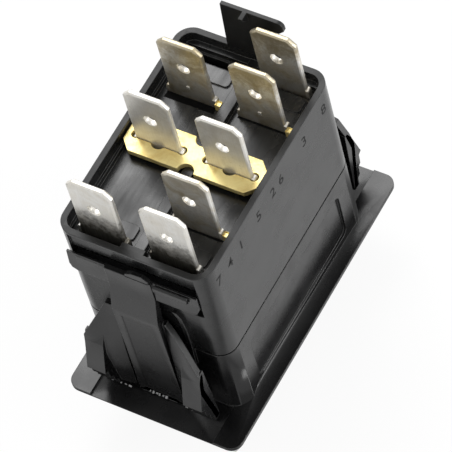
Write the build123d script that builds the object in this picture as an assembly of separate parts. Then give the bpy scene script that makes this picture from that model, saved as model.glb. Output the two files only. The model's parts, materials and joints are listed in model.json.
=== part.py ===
# Snap-in panel rocker switch with ten terminal places, eight of them fitted.
# Millimetres. X is across the switch, Y along it, and +Z points to the rear, where the terminals are.
# The origin is on the switch's axis, in the plane where the flange meets the panel.
import os
from math import atan2, degrees, radians, tan

from build123d import *

# Body and rim of the rear housing
BODY_WIDTH = 20.8
BODY_LENGTH = 32.2
BODY_CORNER = 2.4
RIM_HEIGHT = 29.4
RIM_WALL = 0.8
FLOOR_DEPTH = 2.4
FLOOR_THICKNESS = 2.4
HOUSING_WALL = 1.3
SEAM_HEIGHT = 12.2
SEAM_GROOVE_WIDTH = 0.3
SEAM_GROOVE_DEPTH = 0.35
SEAM_LEDGE = 1.2

# Plug and pivot ears of the housing, which stand inside the bracket
PLUG_CLEARANCE = 0.1
PLUG_WALL = 1.0
PLUG_END = 7.0
EAR_WIDTH = 8.0
EAR_THICKNESS = 1.1
EAR_END = 0.2

# Details of the recessed rear floor
DIVIDER_WIDTH = 1.4
DIVIDER_DROP = 1.4
DIVIDER_BOSS_WIDTH = 3.2
DIVIDER_BOSS_LENGTH = 0.7
LAMP_PAD_HEIGHT = 0.25
LAMP_PAD_WIDTH = 6.6
LAMP_PAD_LENGTH = 2.2
LAMP_PAD_OFFSET = 11.9
SKIRTING_HEIGHT = 0.7
SKIRTING_WIDTH = 0.35
FAR_LEDGE_HEIGHT = 0.9
FAR_LEDGE_LENGTH = 0.8
SLOT_CLEARANCE = 0.1

# Pockets in the two end walls, where the bracket's bars hook in
POCKET_WIDTH = 17.4
POCKET_BOTTOM = 20.9
POCKET_STEP = 26.4
POCKET_TOP = 29.0
POCKET_DEPTH = 0.9
POCKET_SHALLOW_DEPTH = 0.4

# Locking tab for the wiring connector, at the far end
TAB_LEFT = 3.75
TAB_RIGHT = 3.7
TAB_TAPER = 0.6
TAB_HEIGHT = 8.7
TAB_TIP_THICKNESS = 0.5
TAB_EAR_REACH = 5.4
TAB_EAR_HEIGHT = 2.2
TAB_EAR_CORNER = 0.8
TAB_NIB_WIDTH = 0.55
TAB_NIB_REACH = 1.15
TAB_NIB_HEIGHT = 1.6

# Mounting bracket: flange, bezel and walls
FLANGE_WIDTH = 24.5
FLANGE_LENGTH = 43.3
FLANGE_CORNER = 1.6
FLANGE_EDGE = 0.5
BEZEL_HEIGHT = 3.0
BEZEL_BEVEL = 1.3
BEZEL_OPENING_CORNER = 0.6
BRACKET_WALL = 1.2
SIDE_PANEL_LENGTH = 23.0
SIDE_PANEL_TOP = 9.4
SIDE_PANEL_BOTTOM = 1.2
SIDE_PANEL_DEPTH = 0.35
SIDE_PANEL_CORNER = 1.0
FLANGE_POCKET_WIDTH = 17.6
FLANGE_POCKET_DEPTH = 0.35

# Bracket ends: stems, cross bars and stepped wings
STEM_REACH = 18.2
STEM_WIDTH = 6.4
STEM_OFFSET = 0.2
STEM_TOP_OFFSET = 0.6
STEM_SHOULDER = 18.8
STEM_THICKNESS = 1.2
STEM_RIB_WIDTH = 0.6
STEM_RIB_HEIGHT = 0.25
STEM_PANEL_WIDTH = 3.6
BAR_REACH = 16.75
BAR_WIDTH = 18.5
BAR_BOTTOM = 22.2
BAR_TOP = 25.6
BAR_CLEARANCE = 0.1
BAR_HOOK_WIDTH = 16.6
BAR_HOOK_BOTTOM = 22.9
BAR_HOOK_TOP = 25.2
BAR_CORNER = 1.0
WING_INNER = 3.75
WING_HALF_SPAN = 8.4
WING_TOP_HALF_SPAN = 4.5
WING_TOP = 17.2
WING_CORNER = 11.8
WING_SHOULDER = 11.5
WING_BOTTOM = 0.5
WING_THICKNESS = 1.0
WING_TOP_REACH = 17.5
WING_SHOULDER_REACH = 18.7
WING_BOTTOM_REACH = 18.2
TOOTH_SHOULDER_REACH = 19.5
TOOTH_SHOULDER = 10.5
TOOTH_REACH = 20.5
TOOTH_HEIGHT = 7.8
TOOTH_BOTTOM = 1.5
TOOTH_WIDTH = 2.6
TOOTH_STEPS = 4
WEB_THICKNESS = 0.7

# Flat terminals
BLADE_MARGIN = 1.5
THROW_ROW = 8.2
LAMP_ROW = 13.7
BLADE_WIDTH = 6.3
BLADE_THICKNESS = 0.8
BLADE_TIP = 38.2
BLADE_CHAMFER = 1.0
BLADE_BEVEL = 0.2
BLADE_HOLE = 1.8
BLADE_HOLE_DROP = 4.7
BLADE_EAR_RADIUS = 0.35
BLADE_EAR_HEIGHT = 1.1
LAMP_BLADE_END = 17.0

# Contacts: fixed tabs, see-saws and rivets
SEESAW_TOP = 13.5
SEESAW_THICKNESS = 0.8
SEESAW_HALF_LENGTH = 8.2
SEESAW_WIDTH = 5.0
SEESAW_WAIST = 3.6
SEESAW_WAIST_LENGTH = 2.4
CONTACT_OFFSET = 6.4
CONTACT_GAP = 0.6
CONTACT_HEAD_RADIUS = 1.4
CONTACT_HEAD_HEIGHT = 0.6
CONTACT_SHANK_RADIUS = 0.8
CONTACT_TAIL_RADIUS = 1.1
CONTACT_TAIL_HEIGHT = 0.25
CONTACT_CLEARANCE = 0.02
FIXED_HEAD_RADIUS = 1.5
FIXED_HEAD_HEIGHT = 0.5
FIXED_TAB_END = 4.6
PIVOT_GAP = 0.05
PIVOT_EDGE_WIDTH = 3.8
PIVOT_HORN_WIDTH = 0.8
PIVOT_HORN_CLEARANCE = 0.2
PIVOT_HORN_END = 13.0

# Brass link between the two common terminals
LINK_END_CLEARANCE = 0.2
LINK_WIDTH = 5.0
LINK_THICKNESS = 0.8
LINK_TOP_DROP = 0.9
LINK_CHAMFER = 1.35
LINK_NOTCH_RADIUS = 1.1
LINK_SLOT_CLEARANCE = 0.08
LINK_END_HOLE_RADIUS = 0.6
LINK_CENTRE_HOLE_RADIUS = 1.0

# Rocker
ROCKER_PIVOT = 3.0
ROCKER_TILT = 12.0
ROCKER_SIDE_CLEARANCE = 0.35
ROCKER_END_CLEARANCE = 0.35
ROCKER_SKIRT_END = 1.0
ROCKER_MIDDLE = -4.3
ROCKER_PEAK = -6.6
ROCKER_WALL = 1.3
ROCKER_EDGE = 0.6
ROCKER_SIDE_RELIEF = -1.2
ROCKER_RELIEF_LENGTH = 11.0
LEG_WIDTH = 7.2
LEG_THICKNESS = 1.4
LEG_EAR_CLEARANCE = 0.2
LEG_END = 5.2
TRUNNION_RADIUS = 1.5
TRUNNION_CLEARANCE = 0.06
TRUNNION_END_GAP = 0.1
TUBE_RADIUS = 2.3
TUBE_END = 9.2
TUBE_FLOOR = -2.6

# Lenses in the rocker
LENS_LENGTH = 3.0
LENS_WIDTH = 9.0
LENS_OFFSET = 8.6
LENS_DEPTH = 2.6
LENS_FIT = 0.05
LENS_FLANGE = 0.5
LENS_FLANGE_DEPTH = 0.5

# Plungers and their springs
PLUNGER_RADIUS = 1.6
PLUNGER_CLEARANCE = 0.08
PLUNGER_BACK = 5.6
PLUNGER_TIP_GAP = 0.3
SPIGOT_RADIUS = 0.8
SPIGOT_LENGTH = 1.2
SPRING_WIRE = 0.4
SPRING_DIAMETER = 2.4
SPRING_TURNS = 6
SPRING_SEAT_GAP = 0.05

# Lamps, their bosses in the housing and their leads
LAMP_OFFSET = 11.3
LAMP_RADIUS = 1.5
LAMP_RIM_RADIUS = 1.9
LAMP_RIM_HEIGHT = 0.8
LAMP_BODY_LENGTH = 5.2
LAMP_BOSS_END = 14.0
LAMP_BOSS_WIDTH = 5.0
LAMP_BOSS_LENGTH = 3.6
LEAD_WIDTH = 0.5
LEAD_SPREAD = 1.27
LEAD_CLEARANCE = 0.1
LEAD_RUN_HEIGHT = 19.0
LEAD_TOUCH_SPREAD = 3.0
WEB_WALL = 1.2
WEB_END = 14.6
WEB_LENGTH = 18.8

# Sizes that follow from the ones above
FLOOR = RIM_HEIGHT - FLOOR_DEPTH
CEILING = FLOOR - FLOOR_THICKNESS
COLUMN_OFFSET = BODY_WIDTH / 2 - RIM_WALL - BLADE_MARGIN - BLADE_WIDTH / 2
LINK_LENGTH = BODY_WIDTH - 2 * RIM_WALL - 2 * LINK_END_CLEARANCE
INNER_WIDTH = BODY_WIDTH - 2 * BRACKET_WALL
INNER_LENGTH = BODY_LENGTH - 2 * BRACKET_WALL
PLUG_WIDTH = INNER_WIDTH - 2 * PLUG_CLEARANCE
PLUG_LENGTH = INNER_LENGTH - 2 * PLUG_CLEARANCE
SEESAW_BOTTOM = SEESAW_TOP + SEESAW_THICKNESS
FIXED_FACE = SEESAW_BOTTOM + CONTACT_HEAD_HEIGHT + CONTACT_GAP
FIXED_TAB_FRONT = FIXED_FACE + FIXED_HEAD_HEIGHT
PIVOT_EDGE = SEESAW_BOTTOM + PIVOT_GAP
LINK_TOP = RIM_HEIGHT - LINK_TOP_DROP
LINK_BOTTOM = LINK_TOP - LINK_THICKNESS
ROCKER_WIDTH = INNER_WIDTH - 2 * ROCKER_SIDE_CLEARANCE
ROCKER_LENGTH = INNER_LENGTH - 2 * ROCKER_END_CLEARANCE
EAR_OUTER = PLUG_WIDTH / 2
EAR_INNER = EAR_OUTER - EAR_THICKNESS
LEG_OUTER = EAR_INNER - LEG_EAR_CLEARANCE
TUBE_BORE = PLUNGER_RADIUS + PLUNGER_CLEARANCE
PLUNGER_TIP = SEESAW_TOP - PLUNGER_TIP_GAP


def block(x0, x1, y0, y1, z0, z1):
    """A plain box between two corners, the stock that most cuts are made with."""
    size = (x1 - x0, y1 - y0, z1 - z0)
    return Pos((x0 + x1) / 2, (y0 + y1) / 2, (z0 + z1) / 2) * Box(*size)


def rounded_block(width, length, corner, z0, z1):
    """An upright block with rounded corners, centred on the switch's axis."""
    outline = Plane.XY.offset(z0) * RectangleRounded(width, length, corner)
    return extrude(outline, z1 - z0)


def side_profile(points, x0, x1):
    """Extrude an outline of (y, z) points across the switch, from x0 to x1."""
    face = make_face(Polyline([(x0, y, z) for y, z in points], close=True))
    return extrude(face, x1 - x0, dir=(1, 0, 0))


def end_profile(points, y0, y1):
    """Extrude an outline of (x, z) points along the switch, from y0 to y1."""
    face = make_face(Polyline([(x, y0, z) for x, z in points], close=True))
    return extrude(face, y1 - y0, dir=(0, 1, 0))


def upright_cylinder(x, y, radius, z0, z1):
    return Pos(x, y, (z0 + z1) / 2) * Cylinder(radius, z1 - z0)


def cross_cylinder(y, z, radius, x0, x1):
    return Pos((x0 + x1) / 2, y, z) * Rot(0, 90, 0) * Cylinder(radius, x1 - x0)


def at_far_end(shape):
    """Copy a near-end shape to the far end by a half turn about the switch's axis."""
    return Rot(0, 0, 180) * shape


def terminal_slots():
    """Through slots for nine terminals, one of them left empty. The tenth place is moulded shut."""
    slots = []
    half_width = BLADE_WIDTH / 2 + SLOT_CLEARANCE
    half_depth = BLADE_THICKNESS / 2 + SLOT_CLEARANCE
    for x in (-COLUMN_OFFSET, COLUMN_OFFSET):
        rows = [-LAMP_ROW, 0, THROW_ROW, LAMP_ROW]
        if x > 0:
            rows.append(-THROW_ROW)
        for y in rows:
            slot = block(x - half_width, x + half_width, y - half_depth, y + half_depth, CEILING - 1, FLOOR + 1)
            slots.append(slot)
    return slots


def end_pocket():
    """The hooking pocket in the near end wall, shallow beside the floor and deeper below it."""
    outside = -BODY_LENGTH / 2 - 1
    half = POCKET_WIDTH / 2
    deep = block(-half, half, outside, -BODY_LENGTH / 2 + POCKET_DEPTH, POCKET_BOTTOM, POCKET_STEP)
    shallow = block(-half, half, outside, -BODY_LENGTH / 2 + POCKET_SHALLOW_DEPTH, POCKET_STEP, POCKET_TOP)
    return deep + shallow


def locking_tab():
    """The tall tab on the far end wall, with an ear to one side and a nib at the top of its inner face."""
    inner = BODY_LENGTH / 2 - RIM_WALL
    top = RIM_HEIGHT + TAB_HEIGHT
    ear_bottom = top - TAB_EAR_HEIGHT
    outline = [
        (-TAB_LEFT, POCKET_TOP),
        (TAB_RIGHT, POCKET_TOP),
        (TAB_RIGHT, ear_bottom),
        (TAB_EAR_REACH - TAB_EAR_CORNER, ear_bottom),
        (TAB_EAR_REACH, ear_bottom + TAB_EAR_CORNER),
        (TAB_EAR_REACH, top),
        (-TAB_LEFT + TAB_TAPER, top),
    ]
    plate = end_profile(outline, inner, inner + RIM_WALL)
    tip = [e for e in plate.edges().filter_by(Axis.Y) if e.center().X > TAB_RIGHT + 1 and e.center().Z > top - 0.1]
    plate = fillet(tip, TAB_EAR_CORNER)
    slope = [
        (inner - 1, POCKET_TOP),
        (inner + RIM_WALL, POCKET_TOP),
        (inner + RIM_WALL, RIM_HEIGHT),
        (inner + TAB_TIP_THICKNESS, top),
        (inner - 1, top),
    ]
    plate = plate & side_profile(slope, -TAB_LEFT - 1, TAB_EAR_REACH + 1)
    nib = [
        (inner, top - TAB_NIB_HEIGHT),
        (inner, top),
        (inner - TAB_NIB_REACH, top),
        (inner - TAB_NIB_REACH, top - TAB_NIB_HEIGHT / 4),
    ]
    return plate + side_profile(nib, 0, TAB_NIB_WIDTH)


def floor_details():
    """Divider rib, its near boss, the lamp pads, the skirting and the far ledge on the recessed floor."""
    inner_half_length = BODY_LENGTH / 2 - RIM_WALL
    inner_half_width = BODY_WIDTH / 2 - RIM_WALL
    divider_top = RIM_HEIGHT - DIVIDER_DROP
    divider = block(
        -DIVIDER_WIDTH / 2, DIVIDER_WIDTH / 2, -inner_half_length, inner_half_length, FLOOR, divider_top
    )
    link_room = LINK_WIDTH / 2 + 0.4
    divider -= block(-DIVIDER_WIDTH, DIVIDER_WIDTH, -link_room, link_room, LINK_BOTTOM, RIM_HEIGHT)
    boss_start = inner_half_length - DIVIDER_BOSS_LENGTH
    boss = block(-DIVIDER_BOSS_WIDTH / 2, DIVIDER_BOSS_WIDTH / 2, -inner_half_length, -boss_start, FLOOR, RIM_HEIGHT)
    details = [divider, boss]
    for x in (-COLUMN_OFFSET, COLUMN_OFFSET):
        for side in (-1, 1):
            pad = RectangleRounded(LAMP_PAD_WIDTH, LAMP_PAD_LENGTH, LAMP_PAD_LENGTH * 0.25)
            plane = Plane.XY.offset(FLOOR)
            details.append(Pos(x, side * LAMP_PAD_OFFSET, 0) * extrude(plane * pad, LAMP_PAD_HEIGHT))
    for side in (-1, 1):
        x0, x1 = sorted((side * inner_half_width, side * (inner_half_width - SKIRTING_WIDTH)))
        skirting = block(x0, x1, -inner_half_length, inner_half_length, FLOOR, FLOOR + SKIRTING_HEIGHT)
        details.append(skirting)
    ledge_start = inner_half_length - FAR_LEDGE_LENGTH
    details.append(
        block(-inner_half_width, inner_half_width, ledge_start, inner_half_length, FLOOR, FLOOR + FAR_LEDGE_HEIGHT)
    )
    return details


def lamp_boss(side):
    """The block inside the housing that a lamp stands on, with a bent channel for each of its leads."""
    y = side * LAMP_OFFSET
    half_width = LAMP_BOSS_WIDTH / 2
    half_length = LAMP_BOSS_LENGTH / 2
    boss = block(-half_width, half_width, y - half_length, y + half_length, LAMP_BOSS_END, CEILING)
    hole = LEAD_WIDTH / 2 + LEAD_CLEARANCE
    run_bottom = LEAD_RUN_HEIGHT - hole
    run_top = LEAD_RUN_HEIGHT + hole
    for x_side in (-1, 1):
        x = x_side * LEAD_SPREAD
        boss -= block(x - hole, x + hole, y - hole, y + hole, LAMP_BOSS_END - 1, run_top)
        x0, x1 = sorted((x, x_side * (half_width + 1)))
        boss -= block(x0, x1, y - hole, y + hole, run_bottom, run_top)
    return boss


def make_base_housing():
    """Rear housing: rim, recessed floor with slots, hollow inside, plug, pivot ears and locking tab."""
    body = rounded_block(BODY_WIDTH, BODY_LENGTH, BODY_CORNER, SEAM_HEIGHT, RIM_HEIGHT)
    rim_width = BODY_WIDTH - 2 * RIM_WALL
    rim_length = BODY_LENGTH - 2 * RIM_WALL
    body -= rounded_block(rim_width, rim_length, BODY_CORNER - RIM_WALL, FLOOR, RIM_HEIGHT + 1)
    shell_width = BODY_WIDTH - 2 * HOUSING_WALL
    shell_length = BODY_LENGTH - 2 * HOUSING_WALL
    shell_corner = BODY_CORNER - HOUSING_WALL
    body -= end_pocket()
    body -= at_far_end(end_pocket())
    plug_corner = BEZEL_OPENING_CORNER - PLUG_CLEARANCE
    body += rounded_block(PLUG_WIDTH, PLUG_LENGTH, plug_corner, PLUG_END, SEAM_HEIGHT)
    half_ear = EAR_WIDTH / 2
    ear_points = [(-half_ear, PLUG_END), (half_ear, PLUG_END), (half_ear, EAR_END), (-half_ear, EAR_END)]
    for x0, x1 in ((-EAR_OUTER, -EAR_INNER), (EAR_INNER, EAR_OUTER)):
        ear = side_profile(ear_points, x0, x1)
        tips = [e for e in ear.edges().filter_by(Axis.X) if e.center().Z < EAR_END + 0.1]
        body += fillet(tips, EAR_WIDTH * 0.3)
    ledge = SEAM_HEIGHT + SEAM_LEDGE
    body -= rounded_block(shell_width, shell_length, shell_corner, ledge, CEILING)
    plug_hole_width = PLUG_WIDTH - 2 * PLUG_WALL
    plug_hole_length = PLUG_LENGTH - 2 * PLUG_WALL
    body -= rounded_block(plug_hole_width, plug_hole_length, plug_corner, PLUG_END - 1, ledge)
    body += block(-WEB_WALL / 2, WEB_WALL / 2, -WEB_LENGTH / 2, WEB_LENGTH / 2, WEB_END, CEILING)
    for side in (-1, 1):
        body += lamp_boss(side)
    for detail in floor_details():
        body += detail
    body += locking_tab()
    for slot in terminal_slots():
        body -= slot
    bore = TRUNNION_RADIUS + TRUNNION_CLEARANCE
    return body - cross_cylinder(0, ROCKER_PIVOT, bore, -BODY_WIDTH / 2, BODY_WIDTH / 2)


def tooth_steps():
    """The stepped underside of a wing tooth, from its tip back towards the flange, as (y, z) points."""
    rise = (TOOTH_HEIGHT - TOOTH_BOTTOM) / TOOTH_STEPS
    run = (TOOTH_REACH - WING_BOTTOM_REACH) / TOOTH_STEPS
    points = []
    for step in range(TOOTH_STEPS):
        reach = TOOTH_REACH - step * run
        height = TOOTH_HEIGHT - step * rise
        points.append((-reach, height))
        points.append((-reach + run * 0.7, height - rise * 0.15))
        points.append((-reach + run * 0.6, height - rise * 0.9))
    return points


def wing_pair():
    """The two spring wings beside the near stem, with their stepped teeth and thin webs to the stem."""
    inner_face = [
        (-WING_BOTTOM_REACH + WING_THICKNESS, WING_BOTTOM),
        (-WING_SHOULDER_REACH + WING_THICKNESS, WING_SHOULDER),
        (-WING_TOP_REACH + WING_THICKNESS, WING_TOP),
    ]
    plate_points = [
        (-WING_TOP_REACH, WING_TOP),
        (-WING_SHOULDER_REACH, WING_SHOULDER),
        (-WING_BOTTOM_REACH, WING_BOTTOM),
    ] + inner_face
    tooth_points = [(-WING_TOP_REACH, WING_TOP), (-WING_SHOULDER_REACH, WING_SHOULDER)]
    tooth_points += [(-TOOTH_SHOULDER_REACH, TOOTH_SHOULDER)] + tooth_steps()
    tooth_points += [(-WING_BOTTOM_REACH, WING_BOTTOM)] + inner_face
    plate = side_profile(plate_points, WING_INNER, WING_HALF_SPAN)
    tooth = side_profile(tooth_points, WING_HALF_SPAN - TOOTH_WIDTH, WING_HALF_SPAN)
    outline = [
        (WING_INNER, WING_BOTTOM),
        (WING_HALF_SPAN, WING_BOTTOM),
        (WING_HALF_SPAN, WING_CORNER),
        (WING_TOP_HALF_SPAN, WING_TOP),
        (WING_INNER, WING_TOP),
    ]
    wing = (plate + tooth) & end_profile(outline, -TOOTH_REACH - 1, -WING_TOP_REACH + 2)
    web_points = [
        (-WING_TOP_REACH + WING_THICKNESS - WEB_THICKNESS, WING_TOP),
        (-WING_SHOULDER_REACH + WING_THICKNESS - WEB_THICKNESS, WING_SHOULDER),
        (-WING_SHOULDER_REACH + WING_THICKNESS, WING_SHOULDER),
        (-WING_TOP_REACH + WING_THICKNESS, WING_TOP),
    ]
    wing += side_profile(web_points, STEM_WIDTH / 2 - STEM_OFFSET, WING_INNER)
    return wing + mirror(wing, Plane.YZ)


def end_stem():
    """The near stem with its shoulder, rib pair, cross bar and the hook that enters the housing's pocket."""
    back = -BODY_LENGTH / 2 - BAR_CLEARANCE
    stem_points = [
        (-STEM_REACH, -FLANGE_EDGE),
        (-STEM_REACH, STEM_SHOULDER),
        (-BAR_REACH, BAR_BOTTOM),
        (-BAR_REACH, BAR_TOP),
        (back, BAR_TOP),
        (back, BAR_BOTTOM),
        (-STEM_REACH + STEM_THICKNESS, STEM_SHOULDER - 1),
        (-STEM_REACH + STEM_THICKNESS, SEAM_HEIGHT),
        (-BODY_LENGTH / 2, SEAM_HEIGHT),
        (-BODY_LENGTH / 2, -FLANGE_EDGE),
    ]
    half = STEM_WIDTH / 2
    outline = [
        (-half - STEM_OFFSET, -FLANGE_EDGE),
        (half - STEM_OFFSET, -FLANGE_EDGE),
        (half - STEM_OFFSET, STEM_SHOULDER),
        (half - STEM_TOP_OFFSET, BAR_BOTTOM),
        (half - STEM_TOP_OFFSET, BAR_TOP),
        (-half - STEM_TOP_OFFSET, BAR_TOP),
        (-half - STEM_TOP_OFFSET, BAR_BOTTOM),
        (-half - STEM_OFFSET, STEM_SHOULDER),
    ]
    stem = side_profile(stem_points, -STEM_WIDTH, STEM_WIDTH) & end_profile(outline, -STEM_REACH - 1, back + 1)
    bar = block(-BAR_WIDTH / 2, BAR_WIDTH / 2, -BAR_REACH, back, BAR_BOTTOM, BAR_TOP)
    corners = [e for e in bar.edges().filter_by(Axis.Y) if e.center().Z < BAR_BOTTOM + 0.1]
    bar = fillet(corners, BAR_CORNER)
    hook_back = -BODY_LENGTH / 2 + POCKET_DEPTH - BAR_CLEARANCE
    hook_half = BAR_HOOK_WIDTH / 2
    hook = block(-hook_half, hook_half, back, hook_back, BAR_HOOK_BOTTOM, BAR_HOOK_TOP)
    stem += bar + hook
    rib_bottom = STEM_THICKNESS * 2
    for side in (-1, 1):
        x0 = -STEM_OFFSET + side * (STEM_PANEL_WIDTH + STEM_RIB_WIDTH) / 2 - STEM_RIB_WIDTH / 2
        rib = block(
            x0, x0 + STEM_RIB_WIDTH, -STEM_REACH - STEM_RIB_HEIGHT, -STEM_REACH, rib_bottom, STEM_SHOULDER - 1
        )
        stem += rib
    return stem


def make_mounting_bracket():
    """Flange with bezel, side walls, end stems and wings, as the one moulding that it is."""
    edge = rounded_block(FLANGE_WIDTH, FLANGE_LENGTH, FLANGE_CORNER, -BEZEL_HEIGHT, 0)
    front = edge.faces().sort_by(Axis.Z)[0].edges()
    bezel = chamfer(front, BEZEL_HEIGHT - FLANGE_EDGE, BEZEL_BEVEL)
    half_pocket = FLANGE_POCKET_WIDTH / 2
    flange_end = FLANGE_LENGTH / 2 + 1
    for side in (-1, 1):
        y0, y1 = sorted((side * BODY_LENGTH / 2, side * flange_end))
        bezel -= block(-half_pocket, half_pocket, y0, y1, -FLANGE_POCKET_DEPTH, 1)
    groove_start = SEAM_HEIGHT - SEAM_GROOVE_WIDTH
    walls = rounded_block(BODY_WIDTH, BODY_LENGTH, BODY_CORNER, -FLANGE_EDGE, groove_start)
    seam_width = BODY_WIDTH - 2 * SEAM_GROOVE_DEPTH
    seam_length = BODY_LENGTH - 2 * SEAM_GROOVE_DEPTH
    walls += rounded_block(seam_width, seam_length, BODY_CORNER - SEAM_GROOVE_DEPTH, groove_start, SEAM_HEIGHT)
    bracket = bezel + walls
    half_panel = SIDE_PANEL_LENGTH / 2
    for side in (-1, 1):
        panel = Plane.YZ * Pos(0, (SIDE_PANEL_TOP + SIDE_PANEL_BOTTOM) / 2) * RectangleRounded(
            2 * half_panel, SIDE_PANEL_TOP - SIDE_PANEL_BOTTOM, SIDE_PANEL_CORNER
        )
        start = side * (BODY_WIDTH / 2 - SIDE_PANEL_DEPTH)
        bracket -= extrude(Pos(start, 0, 0) * panel, 2 * SIDE_PANEL_DEPTH, dir=(side, 0, 0))
    bracket -= rounded_block(INNER_WIDTH, INNER_LENGTH, BEZEL_OPENING_CORNER, -BEZEL_HEIGHT - 1, SEAM_HEIGHT + 1)
    near = end_stem() + wing_pair()
    return bracket + near + at_far_end(near)


def blade_body(x, y, inner_end):
    """A flat terminal from its chamfered and bevelled tip down to its inner end."""
    half = BLADE_WIDTH / 2
    ear_centre = FLOOR + BLADE_EAR_HEIGHT
    root = ear_centre + BLADE_EAR_RADIUS
    outline = [
        (x - half, root),
        (x + half, root),
        (x + half, BLADE_TIP - BLADE_CHAMFER),
        (x + half - BLADE_CHAMFER, BLADE_TIP),
        (x - half + BLADE_CHAMFER, BLADE_TIP),
        (x - half, BLADE_TIP - BLADE_CHAMFER),
    ]
    front = y - BLADE_THICKNESS / 2
    back = y + BLADE_THICKNESS / 2
    blade = end_profile(outline, front, back)
    sides = [face.edges() for face in blade.faces().filter_by(Axis.Y)]
    rim = [edge for edges in sides for edge in edges if edge.center().Z > root + 0.1]
    blade = chamfer(rim, BLADE_BEVEL)
    blade += block(x - half, x + half, front, back, inner_end, root)
    hole = Pos(x, y, BLADE_TIP - BLADE_HOLE_DROP) * Rot(90, 0, 0) * Cylinder(BLADE_HOLE / 2, BLADE_THICKNESS * 2)
    for side in (-1, 1):
        edge = x + side * half
        ear = Pos(edge, y, ear_centre) * Rot(90, 0, 0)
        blade += ear * Cylinder(BLADE_EAR_RADIUS, BLADE_THICKNESS)
        foot = block(edge - BLADE_EAR_RADIUS, edge + BLADE_EAR_RADIUS, front, back, FLOOR, ear_centre)
        blade += foot
    return blade - hole


def make_lamp_terminal(x, y):
    return blade_body(x, y, LAMP_BLADE_END)


def make_throw_terminal(x, side):
    """An outer contact terminal: its inner end turns towards the middle and carries the fixed contact."""
    y = side * THROW_ROW
    blade = blade_body(x, y, FIXED_TAB_FRONT)
    outer = THROW_ROW + BLADE_THICKNESS / 2
    y0, y1 = sorted((side * FIXED_TAB_END, side * outer))
    half = SEESAW_WIDTH / 2
    blade += block(x - half, x + half, y0, y1, FIXED_TAB_FRONT, FIXED_TAB_FRONT + BLADE_THICKNESS)
    hole = CONTACT_SHANK_RADIUS + CONTACT_CLEARANCE
    middle = FIXED_TAB_FRONT + BLADE_THICKNESS / 2
    return blade - upright_cylinder(x, side * CONTACT_OFFSET, hole, middle - BLADE_THICKNESS, middle + BLADE_THICKNESS)


def make_common_terminal(x):
    """The middle terminal: its inner edge is the see-saw's knife edge, with a horn at each side."""
    blade = blade_body(x, 0, PIVOT_HORN_END)
    edge_half = PIVOT_EDGE_WIDTH / 2
    horn_outer = edge_half + PIVOT_HORN_WIDTH
    thick = BLADE_THICKNESS
    blade -= block(x - edge_half, x + edge_half, -thick, thick, PIVOT_HORN_END - 1, PIVOT_EDGE)
    for side in (-1, 1):
        x0, x1 = sorted((x + side * horn_outer, x + side * BLADE_WIDTH))
        blade -= block(x0, x1, -thick, thick, PIVOT_HORN_END - 1, FIXED_TAB_FRONT)
    slope = tan(radians(45))
    knife = [
        (-thick, PIVOT_EDGE),
        (-thick * 0.1, PIVOT_EDGE),
        (-thick * 0.5, PIVOT_EDGE + thick * 0.4 * slope),
        (-thick, PIVOT_EDGE + thick * 0.4 * slope),
    ]
    bevel = side_profile(knife, x - edge_half, x + edge_half)
    return blade - bevel - mirror(bevel, Plane.XZ)


def make_seesaw(x):
    """The moving contact blade, with a waist that the common terminal's horns hold."""
    half = SEESAW_WIDTH / 2
    waist = SEESAW_WAIST / 2
    blade = block(x - half, x + half, -SEESAW_HALF_LENGTH, SEESAW_HALF_LENGTH, SEESAW_TOP, SEESAW_BOTTOM)
    for side in (-1, 1):
        x0, x1 = sorted((x + side * waist, x + side * (half + 1)))
        notch = SEESAW_WAIST_LENGTH / 2
        blade -= block(x0, x1, -notch, notch, SEESAW_TOP - 1, SEESAW_BOTTOM + 1)
    ends = [e for e in blade.edges().filter_by(Axis.Z) if abs(e.center().Y) > SEESAW_HALF_LENGTH - 0.1]
    blade = fillet(ends, SEESAW_WIDTH * 0.2)
    hole = CONTACT_SHANK_RADIUS + CONTACT_CLEARANCE
    for y in (-CONTACT_OFFSET, CONTACT_OFFSET):
        blade -= upright_cylinder(x, y, hole, SEESAW_TOP - 1, SEESAW_BOTTOM + 1)
    return blade


def make_moving_contact(x, side):
    """A domed rivet in the see-saw's end."""
    dome_radius = 4.0
    y = side * CONTACT_OFFSET
    tip = SEESAW_BOTTOM + CONTACT_HEAD_HEIGHT
    head = upright_cylinder(x, y, CONTACT_HEAD_RADIUS, SEESAW_BOTTOM, tip)
    head = head & (Pos(x, y, tip - dome_radius) * Sphere(dome_radius))
    shank = upright_cylinder(x, y, CONTACT_SHANK_RADIUS, SEESAW_TOP - CONTACT_TAIL_HEIGHT, SEESAW_BOTTOM)
    tail = upright_cylinder(x, y, CONTACT_TAIL_RADIUS, SEESAW_TOP - CONTACT_TAIL_HEIGHT, SEESAW_TOP)
    return head + shank + tail


def make_fixed_contact(x, side):
    """A flat rivet in a throw terminal's inner tab."""
    y = side * CONTACT_OFFSET
    back = FIXED_TAB_FRONT + BLADE_THICKNESS
    head = upright_cylinder(x, y, FIXED_HEAD_RADIUS, FIXED_FACE, FIXED_TAB_FRONT)
    shank = upright_cylinder(x, y, CONTACT_SHANK_RADIUS, FIXED_TAB_FRONT, back)
    tail = upright_cylinder(x, y, CONTACT_TAIL_RADIUS, back, back + CONTACT_TAIL_HEIGHT)
    return head + shank + tail


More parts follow.
